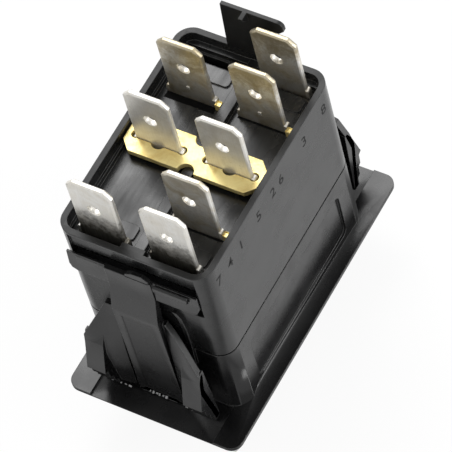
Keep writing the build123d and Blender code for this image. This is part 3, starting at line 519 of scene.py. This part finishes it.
def tinned_metal(name, rgb, stain, radius, stain_share, foot_share, top_share, metallic):
    """Tin plate on a stamped blade: rolling lines, a dark foot, a brown top, stains and edges lightened as
    painted highlight.
    """
    material, tree, shader, place = new_finish(name)
    cloud = noise(tree, place, 330.0, detail=6.0, roughness=0.62, distortion=1.2)
    fine = noise(tree, place, 2100.0, detail=5.0, roughness=0.7)
    lines = noise(tree, stretched(tree, place, 9.0, 9.0, 0.35), 700.0, detail=3.0, roughness=0.6)
    rounded, near = edge_round(tree, radius)
    blotch = times(tree, ranged(tree, cloud, 0.40, 0.66), stain_share)
    body = mixed(tree, blotch, opaque(rgb), opaque(stain))
    level = put(tree, "SeparateXYZ", Vector=place)
    ragged = sums(tree, "ADD", level.outputs["Z"], spread(tree, cloud, -0.0012, 0.0012))
    ragged = sums(tree, "ADD", ragged, ranged(tree, fine, 0.35, 0.65, -0.0009, 0.0009))
    crown = times(tree, ranged(tree, ragged, *BROWN_TOP), top_share)
    body = mixed(tree, crown, body, shaded(stain, 0.7))
    foot = times(tree, ranged(tree, ragged, *DARK_FOOT, 1.0, 0.0), foot_share)
    foot = times(tree, foot, within(tree, level, "X", FOOT_REACH))
    body = mixed(tree, foot, body, shaded(stain, 0.12))
    spotted = mixed(tree, ranged(tree, fine, 0.60, 0.75, 0.0, 0.45), body, shaded(stain, 0.7))
    streaked = mixed(tree, ranged(tree, lines, 0.35, 0.75, 0.0, 0.25), spotted, shaded(rgb, 0.62))
    # Painted highlight: the edges are lightened
    feed(tree, shader, "Base Color", mixed(tree, times(tree, near, 0.55), streaked, shaded(rgb, 1.15)))
    feed(tree, shader, "Metallic", metallic)
    feed(tree, shader, "Roughness", spread(tree, fine, 0.30, 0.46))
    height = sums(tree, "ADD", times(tree, lines, 0.5), times(tree, cloud, 0.5))
    bumped(tree, shader, height, strength=0.35, distance=0.00005, normal=rounded)
    return material


def yellow_brass(name, rgb, tarnish, radius):
    """Stamped brass: shallow dents, tarnish in the low places and edges lightened as painted highlight."""
    material, tree, shader, place = new_finish(name)
    cloud = noise(tree, place, 420.0, detail=6.0, roughness=0.6, distortion=0.9)
    fine = noise(tree, place, 3200.0, detail=4.0, roughness=0.65)
    rounded, near = edge_round(tree, radius)
    body = mixed(tree, ranged(tree, cloud, 0.42, 0.70, 0.0, 0.75), opaque(rgb), opaque(tarnish))
    # Painted highlight: the edges are lightened
    feed(tree, shader, "Base Color", mixed(tree, times(tree, near, 0.6), body, shaded(rgb, 1.15)))
    feed(tree, shader, "Metallic", 0.65)
    feed(tree, shader, "Roughness", spread(tree, fine, 0.34, 0.50))
    height = sums(tree, "ADD", cloud, times(tree, fine, 0.15))
    bumped(tree, shader, height, strength=0.45, distance=0.00008, normal=rounded)
    return material


def plain_metal(name, rgb, roughness, scale):
    """Small metal parts inside: soft colour change, drawing marks and fine scratches."""
    material, tree, shader, place = new_finish(name)
    cloud = noise(tree, place, scale, detail=5.0, roughness=0.6, distortion=0.5)
    marks = noise(tree, stretched(tree, place, 6.0, 0.6, 6.0), scale * 3.0, detail=3.0, roughness=0.6)
    feed(tree, shader, "Base Color", varied(tree, cloud, rgb, 0.75, 1.1))
    feed(tree, shader, "Metallic", 1.0)
    feed(tree, shader, "Roughness", spread(tree, marks, roughness * 0.8, roughness * 1.3))
    bumped(tree, shader, marks, strength=0.25, distance=0.00003)
    return material


def pale_plastic(name, rgb):
    """Pale plastic of the greased plungers, and of the flash crumbs, whose paleness paints glints."""
    material, tree, shader, place = new_finish(name)
    cloud = noise(tree, place, 500.0, detail=4.0, roughness=0.6)
    feed(tree, shader, "Base Color", varied(tree, cloud, rgb, 0.86, 1.05))
    feed(tree, shader, "Roughness", spread(tree, cloud, 0.30, 0.48))
    feed(tree, shader, "Subsurface Weight", 0.15)
    feed(tree, shader, "Subsurface Radius", (0.0006, 0.0006, 0.0005))
    bumped(tree, shader, cloud, strength=0.2, distance=0.00003)
    return material


def clear_plastic(name, rgb, roughness):
    """Clear lens or lamp glass with faint waviness."""
    material, tree, shader, place = new_finish(name)
    wave = noise(tree, place, 900.0, detail=2.0, roughness=0.5)
    feed(tree, shader, "Base Color", varied(tree, wave, rgb, 0.96, 1.04))
    feed(tree, shader, "Transmission Weight", 0.85)
    feed(tree, shader, "IOR", 1.49)
    feed(tree, shader, "Roughness", spread(tree, wave, roughness, roughness * 2.0))
    bumped(tree, shader, wave, strength=0.15, distance=0.00003)
    return material


def digit_mark_and_painted_shade(name, rgb, gleam):
    """The dark matt finish of the digits, and the painted shade on the flat sheets that stand for the slots
    before the throw blades.
    """
    material, tree, shader, place = new_finish(name)
    cloud = noise(tree, place, 3000.0, detail=4.0, roughness=0.6)
    feed(tree, shader, "Base Color", mixed(tree, cloud, shaded(rgb, 0.7), shaded(rgb, 1.8)))
    feed(tree, shader, "Roughness", spread(tree, cloud, 0.55, 0.75))
    feed(tree, shader, "Specular IOR Level", gleam)
    return material


def pale_floor(name, rgb):
    """Pale paper floor: white where it is seen, with a faint shadow, and a strip of painted shade that only
    reflections see.
    """
    material = bpy.data.materials.new(name)
    tree = emptied(material)
    seen, path = seen_rays(tree)
    across = put(tree, "SeparateXYZ", Vector=object_place(tree)).outputs["Y"]
    # Painted shade: before the switch the floor glows darker to glossy rays, so the stem and wings mirror it
    # darker
    painted_shade_strip = times(tree, ranged(tree, across, *SHADE_STRIP_START), ranged(tree, across, *SHADE_STRIP_END, 1.0, 0.0))
    painted_shade = times(tree, painted_shade_strip, path.outputs["Is Glossy Ray"])
    strength = ranged(tree, painted_shade, 0.0, 1.0, FLOOR_GLOW, SHADE_STRIP_GLOW)
    paper = put(tree, "BsdfDiffuse", Color=opaque(rgb))
    glow = put(tree, "Emission", Color=WHITE, Strength=strength)
    cover = put(tree, "MixShader")
    feed(tree, cover, 0, times(tree, seen, FLOOR_WHITE_SHARE))
    feed(tree, cover, 1, paper.outputs[0])
    feed(tree, cover, 2, glow.outputs[0])
    put(tree, "OutputMaterial", Surface=cover.outputs[0])
    return material


# ---------------- mesh helpers


def paint(name, finish):
    """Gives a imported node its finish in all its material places."""
    for place in frame["nodes"][name].material_slots:
        place.material = finish


def body_of_node(name):
    """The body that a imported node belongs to."""
    return frame["nodes"][name]["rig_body"]


def finish_piece(shape, name, finish, body):
    """Makes an object of a finished bmesh, and sets its material, body and material slot."""
    for face in shape.faces:
        face.material_index = 0
    mesh = bpy.data.meshes.new(name)
    shape.to_mesh(mesh)
    shape.free()
    mesh.materials.append(finish)
    mesh.shade_smooth()
    mesh.set_sharp_from_angle(angle=math.radians(SMOOTH_ANGLE))
    piece = bpy.data.objects.new(name, mesh)
    bpy.context.scene.collection.objects.link(piece)
    even = piece.modifiers.new("even_shading", "WEIGHTED_NORMAL")
    even.keep_sharp = True
    even.weight = 100
    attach(piece, body)
    return piece


def merged_copy(node):
    """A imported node's mesh as a bmesh, with its loose triangles merged and its flat faces whole."""
    shape = bmesh.new()
    shape.from_mesh(frame["nodes"][node].data)
    bmesh.ops.remove_doubles(shape, verts=shape.verts, dist=MERGE_DISTANCE)
    bmesh.ops.dissolve_limit(
        shape,
        angle_limit=math.radians(FLAT_ANGLE),
        verts=shape.verts,
        edges=shape.edges,
        use_dissolve_boundaries=False,
    )
    bmesh.ops.recalc_face_normals(shape, faces=shape.faces)
    return shape


def stamped_piece(node, name, finish, edge):
    """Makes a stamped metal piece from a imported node, with its sharp edges rounded."""
    shape = merged_copy(node)
    limit = math.radians(STAMPED_ANGLE)
    sharp = [item for item in shape.edges if item.is_manifold and item.calc_face_angle(0.0) > limit]
    bmesh.ops.bevel(
        shape,
        geom=sharp,
        offset=edge,
        offset_type="OFFSET",
        segments=2,
        profile=0.5,
        affect="EDGES",
        clamp_overlap=True,
        loop_slide=True,
        material=-1,
    )
    return finish_piece(shape, name, finish, body_of_node(node))


def put_at(axis, along, first, second):
    """A point in metres from its place along an axis and its two places across it, in millimetres."""
    if axis == "x":
        return (along * MM, first * MM, second * MM)
    if axis == "y":
        return (first * MM, along * MM, second * MM)
    return (first * MM, second * MM, along * MM)


def rectangle(first_low, first_high, second_low, second_high):
    """The outline of a rectangle, round from its lowest corner."""
    return [
        (first_low, second_low),
        (first_high, second_low),
        (first_high, second_high),
        (first_low, second_high),
    ]


def loft(shape, axis, sections):
    """Adds a solid through outlines with equal numbers of points, each at its place along an axis."""
    loops = []
    for along, outline in sections:
        corners = [shape.verts.new(put_at(axis, along, first, second)) for first, second in outline]
        ring = [shape.edges.new((corners[index - 1], corners[index])) for index in range(len(corners))]
        loops.append((corners, ring))
    sides = []
    for (_, ring), (_, next_ring) in zip(loops, loops[1:]):
        sides += bmesh.ops.bridge_loops(shape, edges=ring + next_ring)["faces"]
    caps = [shape.faces.new(loops[0][0]), shape.faces.new(loops[-1][0])]
    bmesh.ops.recalc_face_normals(shape, faces=sides + caps)


def prism(shape, axis, outline, start, end):
    """Adds a solid of one outline between two places along an axis."""
    loft(shape, axis, [(start, outline), (end, outline)])


def without_boxes(shape, boxes):
    """Cuts boxes, given by their limits in millimetres, out of a bmesh, and gives the rest as a new one."""
    meshes = [bpy.data.meshes.new(name) for name in ("rest", "cutter")]
    shape.to_mesh(meshes[0])
    shape.free()
    cutter = bmesh.new()
    for x0, x1, y0, y1, z0, z1 in boxes:
        prism(cutter, "x", rectangle(y0, y1, z0, z1), x0, x1)
    cutter.to_mesh(meshes[1])
    cutter.free()
    holders = [bpy.data.objects.new(mesh.name, mesh) for mesh in meshes]
    for holder in holders:
        bpy.context.scene.collection.objects.link(holder)
    cut = holders[0].modifiers.new("cut", "BOOLEAN")
    cut.operation = "DIFFERENCE"
    cut.solver = "EXACT"
    cut.object = holders[1]
    evaluated = holders[0].evaluated_get(bpy.context.evaluated_depsgraph_get())
    result = bpy.data.meshes.new_from_object(evaluated)
    rest = bmesh.new()
    rest.from_mesh(result)
    for holder in holders:
        bpy.data.objects.remove(holder)
    for mesh in meshes + [result]:
        bpy.data.meshes.remove(mesh)
    return rest


# ---------------- operators


def settings(context):
    """The sizes and the colours that the panel lists."""
    return context.scene.switch_sizes, context.scene.switch_colours


class SWITCH_OT_stage(Operator):
    """Sets the camera, the lamps, the pale floor and the background"""

    bl_idname = "switch.stage"
    bl_label = "Stage"

    def execute(self, context):
        stage = context.scene.switch_stage
        colours = context.scene.switch_colours
        camera = bpy.data.objects.new("camera", bpy.data.cameras.new("camera"))
        context.scene.collection.objects.link(camera)
        camera.location = stage.camera_place
        camera.rotation_euler = stage.camera_turn
        camera.data.sensor_width = 36.0
        camera.data.lens = stage.camera_lens
        camera.data.clip_start = 0.01
        context.scene.camera = camera

        height = CAD_BOX[0][2] - stage.floor_drop
        shape = bmesh.new()
        bmesh.ops.create_grid(shape, x_segments=1, y_segments=1, size=stage.floor_width / 2)
        bmesh.ops.translate(shape, vec=(0.0, 0.0, height), verts=shape.verts)
        mesh = bpy.data.meshes.new("floor")
        shape.to_mesh(mesh)
        shape.free()
        mesh.materials.append(pale_floor("pale_floor", colours.floor))
        floor = bpy.data.objects.new("floor", mesh)
        context.scene.collection.objects.link(floor)

        self.add_lamp(context, "key_lamp", *KEY_LAMP, stage.key_power)
        self.add_lamp(context, "side_lamp", *SIDE_LAMP, stage.side_power)
        self.set_world(context, stage.world_strength)
        context.scene.view_settings.view_transform = "Standard"
        return {"FINISHED"}

    def add_lamp(self, context, name, place, size, power):
        """A square soft lamp that faces the switch."""
        lamp = bpy.data.lights.new(name, "AREA")
        lamp.shape = "SQUARE"
        lamp.size = size
        lamp.energy = power
        holder = bpy.data.objects.new(name, lamp)
        holder.location = place
        aim = Vector(LAMP_AIM) - Vector(place)
        holder.rotation_euler = aim.to_track_quat("-Z", "Y").to_euler()
        context.scene.collection.objects.link(holder)

    def set_world(self, context, strength):
        """White to the camera and in reflections, and softer as light."""
        world = bpy.data.worlds.new("soft_white")
        tree = emptied(world)
        seen, _ = seen_rays(tree)
        shown = ranged(tree, seen, 0.0, 1.0, strength, 1.0)
        glow = put(tree, "Background", Color=WHITE, Strength=shown)
        put(tree, "OutputWorld", Surface=glow.outputs[0])
        context.scene.world = world


class SWITCH_OT_case(Operator):
    """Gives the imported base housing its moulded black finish"""

    bl_idname = "switch.case"
    bl_label = "Case"

    def execute(self, context):
        sizes, colours = settings(context)
        recess = (sizes.rim_top, sizes.recess_half_width, sizes.recess_half_length)
        finish = moulded_plastic(
            "case_plastic", colours.case, colours.wear_and_edge_highlight, CASE_GLOSS, sizes.mould_edge, recess
        )
        paint("base_housing", finish)
        return {"FINISHED"}


class SWITCH_OT_bracket(Operator):
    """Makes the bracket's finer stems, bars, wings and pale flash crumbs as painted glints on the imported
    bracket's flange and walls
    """

    bl_idname = "switch.bracket"
    bl_label = "Bracket"

    def execute(self, context):
        sizes, colours = settings(context)
        form = context.scene.switch_bracket
        finish = moulded_plastic(
            "bracket_plastic", colours.bracket, colours.wear_and_edge_highlight, BRACKET_GLOSS, sizes.mould_edge
        )
        wall = form.wall / MM
        boxes = [CUT_WIDTH + ends + CUT_HEIGHT for ends in ((-CUT_END, -wall), (wall, CUT_END))]
        shape = without_boxes(merged_copy("mounting_bracket"), boxes)
        self.add_far_latch(shape, form)
        self.add_stem(shape, form, form.bar_left, form.bar_end)
        self.add_boss_and_lip(shape, form)
        middle = -form.wing_shift / MM
        self.add_wing(shape, form, -1, middle, *NEAR_LEFT_CUT)
        self.add_wing(shape, form, 1, middle, *NEAR_RIGHT_CUT)
        self.add_finger(shape, form)
        body = body_of_node("mounting_bracket")
        piece = finish_piece(shape, "bracket_moulding", finish, body)
        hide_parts("mounting_bracket")
        # Painted glints: the flash crumbs get a pale finish
        flash_glint = bmesh.new()
        self.add_flash_glints(flash_glint)
        painted_light = pale_plastic("glint_plastic", colours.flash_glint)
        finish_piece(flash_glint, "flash_glints", painted_light, body)
        return {"FINISHED"}

    def add_far_latch(self, shape, form):
        """The plainer latch of the far end, made as a near one and half turned."""
        far = bmesh.new()
        self.add_stem(far, form, form.far_bar_end, form.far_bar_end)
        for side in (-1, 1):
            self.add_wing(far, form, side, 0.0, *FAR_WING_CUT)
        half_turn = Matrix.Rotation(math.pi, 3, "Z")
        bmesh.ops.rotate(far, cent=(0, 0, 0), matrix=half_turn, verts=far.verts)
        half_turned = bpy.data.meshes.new("far_latch")
        far.to_mesh(half_turned)
        far.free()
        shape.from_mesh(half_turned)
        bpy.data.meshes.remove(half_turned)

    def add_flash_glints(self, shape):
        """The ragged crumbs of flash along the foot of the wings and stem, which their pale finish makes
        painted glints.
        """
        for start, end, step, reach, thick in GLINT_ROWS:
            for number in range(int((end - start) / step)):
                left = start + number * step
                span = step * (0.35 + 0.3 * (number % 3) / 2)
                lean = thick * (0.7 + 0.6 * (number % 2))
                corner = [(-reach - lean, GLINT_FOOT), (-reach, GLINT_FOOT), (-reach, GLINT_FOOT + lean)]
                prism(shape, "x", corner, left, left + span)

    def add_stem(self, shape, form, bar_left, bar_right):
        """The near stem with its shoulder and sunk panel, and the two arms of the cross bar beside it."""
        face = -form.face / MM
        left, right = form.stem_left / MM, form.stem_right / MM
        shift = form.stem_shift / MM
        low, high = form.bar_bottom / MM, form.bar_top / MM
        bar_face, bar_back = -form.bar_face / MM, -form.bar_back / MM
        wall = -form.wall / MM + OVERLAP
        prism(shape, "z", rectangle(left, right, face + CORE_INSET, wall), STEM_FOOT, CORE_TOP)
        sections = []
        for height, front, back, move in (
            (STEM_FOOT, face, face + STEM_THICK, 0.0),
            (form.shoulder / MM, face, face + STEM_THICK, 0.0),
            (low, bar_face - OVERLAP, bar_back, shift),
            (high + OVERLAP / 2, bar_face - OVERLAP, bar_back, shift),
        ):
            sections.append((height, rectangle(left - move, right - move, front, back)))
        loft(shape, "z", sections)
        self.add_panel(shape, form)
        arms = (
            (left - shift - BAR_GROOVE, -bar_left / MM),
            (right - shift + BAR_GROOVE, bar_right / MM),
        )
        for inner, outer in arms:
            step = math.copysign(BAR_CORNER, outer)
            outline = [
                (inner, low),
                (outer - step, low),
                (outer - step * 0.3, low + BAR_CORNER * 0.3),
                (outer, low + BAR_CORNER),
                (outer, high),
                (inner, high),
            ]
            prism(shape, "y", outline, bar_face, bar_back)
        front = [vert for vert in shape.verts if abs(vert.co.y - bar_face * MM) < SAME_PLACE]
        lean = form.bar_lean / (form.bar_top - form.bar_bottom)
        drop = -lean * form.bar_bottom
        shear = Matrix(((1, 0, 0, 0), (0, 1, lean, drop), (0, 0, 1, 0), (0, 0, 0, 1)))
        bmesh.ops.transform(shape, matrix=shear, verts=front)
        backing = rectangle(*BACKING_ENDS, low + 0.5, high - 0.3)
        prism(shape, "y", backing, bar_face + 0.2, bar_back)

    def add_panel(self, shape, form):
        """Sinks a panel into the stem's face."""
        flat = [
            face
            for face in shape.faces
            if abs(face.calc_center_median().y + form.face) < MERGE_DISTANCE
            and face.normal.y < -0.9
            and face.calc_area() > SMALLEST_PANEL
        ]
        for width in (form.panel_margin, form.panel_depth):
            bmesh.ops.inset_region(shape, faces=flat, thickness=width, depth=0.0, use_boundary=True)
        corners = {vert for face in flat for vert in face.verts}
        bmesh.ops.translate(shape, vec=(0.0, form.panel_depth, 0.0), verts=list(corners))

    def add_boss_and_lip(self, shape, form):
        """The moulding boss on the near bar and the raised lip along its right arm."""
        high = form.bar_top / MM
        face, back = -form.bar_face / MM, -form.bar_back / MM - OVERLAP
        prism(shape, "y", [(x, high + rise) for x, rise in BOSS_OUTLINE], face - OVERLAP, back)
        prism(shape, "x", [(face + out, high + rise) for out, rise in LIP_OUTLINE], *LIP_ENDS)

    def add_wing(self, shape, form, side, middle, cut, corner):
        """A spring wing whose face starts level with the stem and curls outwards to its stepped tooth."""
        inner, outer = form.wing_inner / MM, form.wing_outer / MM
        top, thick = form.wing_top / MM, form.wing_thick / MM
        evenly = [inner + (outer - inner) * step / WING_STEPS for step in range(WING_STEPS + 1)]
        sections = []
        for place in sorted(evenly + [outer - cut]):
            share = 1.0 - (1.0 - (place - inner) / (outer - inner)) ** 2
            height = top - max(0.0, place - outer + cut) / cut * (top - corner)
            (shoulder, level), *lower = [(reach + share * curl, z) for reach, curl, z in WING_LEVELS]
            lean = (shoulder - WING_TOP_REACH) * (top - height) / (top - level)
            front = [(WING_TOP_REACH + lean, height), (shoulder, min(level, height - 0.02))] + lower
            outline = front + [(reach - thick, z) for reach, z in reversed(front)]
            sections.append((middle + side * place, [(-reach, z) for reach, z in outline]))
        loft(shape, "x", sections)
        tooth = [(-reach, z) for reach, z in TOOTH_FRONT + TOOTH_FOOT]
        tooth_start = outer - form.tooth_width / MM
        prism(shape, "x", tooth, middle + side * tooth_start, middle + side * outer)
        ends = [middle + side * (inner + end) for end in WEB_ENDS]
        prism(shape, "x", rectangle(*WEB_DEPTH, WEB_FOOT, top), *ends)

    def add_finger(self, shape, form):
        """The curved finger on the near end wall."""
        wall = -form.wall / MM
        outline = [(x - FINGER_HALF, z) for x, z in FINGER_LINE]
        outline += [(x + FINGER_HALF, z) for x, z in reversed(FINGER_LINE)]
        prism(shape, "y", outline, wall - FINGER_THICK, wall + OVERLAP)


class SWITCH_OT_rocker(Operator):
    """Gives the rocker, its lenses and its plungers their finishes"""

    bl_idname = "switch.rocker"
    bl_label = "Rocker"

    def execute(self, context):
        sizes, colours = settings(context)
        black = moulded_plastic(
            "rocker_plastic", colours.rocker, colours.wear_and_edge_highlight, ROCKER_GLOSS, sizes.mould_edge
        )
        paint("rocker", black)
        lens = clear_plastic("lens_plastic", colours.lens, roughness=0.08)
        white = pale_plastic("plunger_plastic", colours.plunger)
        for name in ("lens_near", "lens_far"):
            paint(name, lens)
        for side in ("left", "right"):
            paint("plunger_" + side, white)
        return {"FINISHED"}


class SWITCH_OT_springs(Operator):
    """Makes the plunger springs as coils in place of the imported ones"""

    bl_idname = "switch.springs"
    bl_label = "Springs"

    def execute(self, context):
        sizes, colours = settings(context)
        steel = plain_metal("spring_steel", colours.spring, roughness=0.3, scale=900.0)
        for side in ("left", "right"):
            node = "plunger_spring_" + side
            body = body_of_node(node)
            piece = finish_piece(merged_copy(node), "spring_coil_" + side, steel, body)
            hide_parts(node)
            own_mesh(piece)
        return {"FINISHED"}


class SWITCH_OT_blades(Operator):
    """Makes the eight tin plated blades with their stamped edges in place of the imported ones"""

    bl_idname = "switch.blades"
    bl_label = "Blades"

    def execute(self, context):
        sizes, colours = settings(context)
        edge, tin, stain = sizes.metal_edge, colours.tin, colours.stain
        # Painted light: the common blades get a lighter copy of the tin
        painted_light = shaded(tin, 1.08)[:3]
        near = tinned_metal("near_tin", tin, stain, edge, *BLADE_WEAR["near"])
        common = tinned_metal("common_tin", painted_light, stain, edge, *BLADE_WEAR["common"])
        throw = tinned_metal("throw_tin", tin, stain, edge, *BLADE_WEAR["throw"])
        far = tinned_metal("far_tin", tin, stain, edge, *BLADE_WEAR["far"])
        finishes = (("lamp_near", near), ("common", common), ("far", far), ("throw", throw))
        for place in BLADE_PLACES:
            name = "terminal_" + place
            finish = next(finish for mark, finish in finishes if mark in place)
            piece = stamped_piece(name, "blade_" + place, finish, edge)
            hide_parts(name)
        return {"FINISHED"}


class SWITCH_OT_stakes(Operator):
    """Sets the hollow brass stakes, the flat sheets of painted shade that stand for the slots, and the stops
    beside the throw blades
    """

    bl_idname = "switch.stakes"
    bl_label = "Stakes"

    def execute(self, context):
        sizes, colours = settings(context)
        housing = body_of_node("base_housing")
        brass = yellow_brass("stake_brass", colours.brass, colours.tarnish, sizes.metal_edge)
        finish_piece(self.hollow_stakes(sizes), "slot_stakes", brass, housing)

        # Painted shade: thin dark sheets on the floor stand for the slots before the throw blades, in the
        # digits' colour
        painted_shade = digit_mark_and_painted_shade("painted_slot_finish", colours.digit, gleam=0.05)
        width = sizes.painted_slot_width / MM
        dark = bmesh.new()
        for left, right, face, share in SLOT_SHADE_PLACES:
            prism(dark, "z", rectangle(left, right, face - width * share, face), *SLOT_SHADE_HEIGHT)
        finish_piece(dark, "painted_slot_sheets", painted_shade, housing)

        tin = tinned_metal("stop_plate", colours.tin, colours.stain, sizes.metal_edge, *BLADE_WEAR["stop"])
        stops = bmesh.new()
        for x in STOP_PLACES:
            prism(stops, "y", rectangle(x - STOP_HALF, x + STOP_HALF, *STOP_HEIGHT), *STOP_DEPTH)
        finish_piece(stops, "blade_stops", tin, housing)
        return {"FINISHED"}

    def hollow_stakes(self, sizes):
        """Square stakes with a sunk top, as a bmesh."""
        half = sizes.stake_size / MM / 2
        top = sizes.stake_top / MM
        shape = bmesh.new()
        for x, y in STAKE_PLACES:
            prism(shape, "z", rectangle(x - half, x + half, y - half, y + half), STAKE_FOOT, top)
        lowest = (top - OVERLAP) * MM
        lids = [lid for lid in shape.faces if lid.normal.z > 0.9 and lid.calc_center_median().z > lowest]
        rim, hollow = sizes.stake_size * STAKE_RIM, sizes.stake_size * STAKE_HOLLOW
        bmesh.ops.inset_region(shape, faces=lids, thickness=rim, depth=0.0, use_boundary=True)
        corners = {vert for lid in lids for vert in lid.verts}
        bmesh.ops.translate(shape, vec=(0.0, 0.0, -hollow), verts=list(corners))
        return shape


class SWITCH_OT_link(Operator):
    """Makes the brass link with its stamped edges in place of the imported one"""

    bl_idname = "switch.link"
    bl_label = "Link"

    def execute(self, context):
        sizes, colours = settings(context)
        finish = yellow_brass("link_brass", colours.brass, colours.tarnish, sizes.metal_edge)
        piece = stamped_piece("common_link", "brass_link", finish, sizes.metal_edge)
        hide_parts("common_link")
        return {"FINISHED"}


class SWITCH_OT_inner_works(Operator):
    """Gives the see-saws, the contacts and the lamps their finishes"""

    bl_idname = "switch.inner_works"
    bl_label = "Inner works"

    def execute(self, context):
        _, colours = settings(context)
        copper = plain_metal("contact_copper", colours.copper, roughness=0.32, scale=700.0)
        silver = plain_metal("contact_silver", colours.silver, roughness=0.28, scale=1200.0)
        glass = clear_plastic("lamp_glass", colours.lens, roughness=0.04)
        for name in frame["nodes"]:
            if name.startswith("seesaw_"):
                paint(name, copper)
            elif "_contact_" in name:
                paint(name, silver)
            elif name in ("lamp_near", "lamp_far"):
                paint(name, glass)
        return {"FINISHED"}


class SWITCH_OT_digits(Operator):
    """Sets the plain position digits along the top of the right wall"""

    bl_idname = "switch.digits"
    bl_label = "Digits"

    def execute(self, context):
        sizes, colours = settings(context)
        finish = digit_mark_and_painted_shade("digit_shade", colours.digit, gleam=0.25)
        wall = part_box("base_housing")[1][0]
        shape = bmesh.new()
        upright = Matrix(((0, 0, 1), (1, 0, 0), (0, 1, 0))).to_4x4()
        for digit, along in zip(DIGITS, DIGIT_PLACES):
            text = bpy.data.curves.new("digit", "FONT")
            text.body = digit
            text.size = sizes.digit_height
            text.align_x = "CENTER"
            text.align_y = "CENTER"
            text.extrude = sizes.digit_depth / 2
            text.offset = sizes.digit_weight
            text.resolution_u = 3
            holder = bpy.data.objects.new("digit", text)
            context.scene.collection.objects.link(holder)
            context.view_layer.update()
            mesh = bpy.data.meshes.new_from_object(holder)
            bpy.data.objects.remove(holder)
            mesh.transform(Matrix.Translation((wall, along * MM, sizes.digit_line)) @ upright)
            shape.from_mesh(mesh)
            bpy.data.meshes.remove(mesh)
        bmesh.ops.remove_doubles(shape, verts=shape.verts, dist=SAME_PLACE)
        bmesh.ops.recalc_face_normals(shape, faces=shape.faces)
        finish_piece(shape, "position_digits", finish, body_of_node("base_housing"))
        return {"FINISHED"}


class SWITCH_PT_panel(Panel):
    """Lists the switch's pieces and their sizes and colours"""

    bl_label = "Panel rocker switch"
    bl_idname = "SWITCH_PT_panel"
    bl_space_type = "VIEW_3D"
    bl_region_type = "UI"
    bl_category = "Switch"

    def draw(self, context):
        column = self.layout.column()
        for operator in OPERATORS:
            column.operator(operator.bl_idname)
        scene = context.scene
        groups = (scene.switch_sizes, scene.switch_bracket, scene.switch_colours, scene.switch_stage)
        for group in groups:
            box = self.layout.box()
            for name in group.__annotations__:
                box.prop(group, name)


OPERATORS = (
    SWITCH_OT_stage,
    SWITCH_OT_case,
    SWITCH_OT_bracket,
    SWITCH_OT_rocker,
    SWITCH_OT_springs,
    SWITCH_OT_blades,
    SWITCH_OT_stakes,
    SWITCH_OT_link,
    SWITCH_OT_inner_works,
    SWITCH_OT_digits,
)
CLASSES = (SwitchSizes, BracketSizes, SwitchColours, SwitchStage) + OPERATORS + (SWITCH_PT_panel,)


def register():
    for cls in CLASSES:
        bpy.utils.register_class(cls)
    bpy.types.Scene.switch_sizes = PointerProperty(type=SwitchSizes)
    bpy.types.Scene.switch_bracket = PointerProperty(type=BracketSizes)
    bpy.types.Scene.switch_colours = PointerProperty(type=SwitchColours)
    bpy.types.Scene.switch_stage = PointerProperty(type=SwitchStage)


def unregister():
    del bpy.types.Scene.switch_stage
    del bpy.types.Scene.switch_colours
    del bpy.types.Scene.switch_bracket
    del bpy.types.Scene.switch_sizes
    for cls in reversed(CLASSES):
        bpy.utils.unregister_class(cls)


def main():
    """Builds the whole scene."""
    register()
    bpy.ops.switch.stage()
    bpy.ops.switch.case()
    bpy.ops.switch.bracket()
    bpy.ops.switch.rocker()
    bpy.ops.switch.springs()
    bpy.ops.switch.blades()
    bpy.ops.switch.stakes()
    bpy.ops.switch.link()
    bpy.ops.switch.inner_works()
    bpy.ops.switch.digits()


if __name__ == "__main__":
    main()
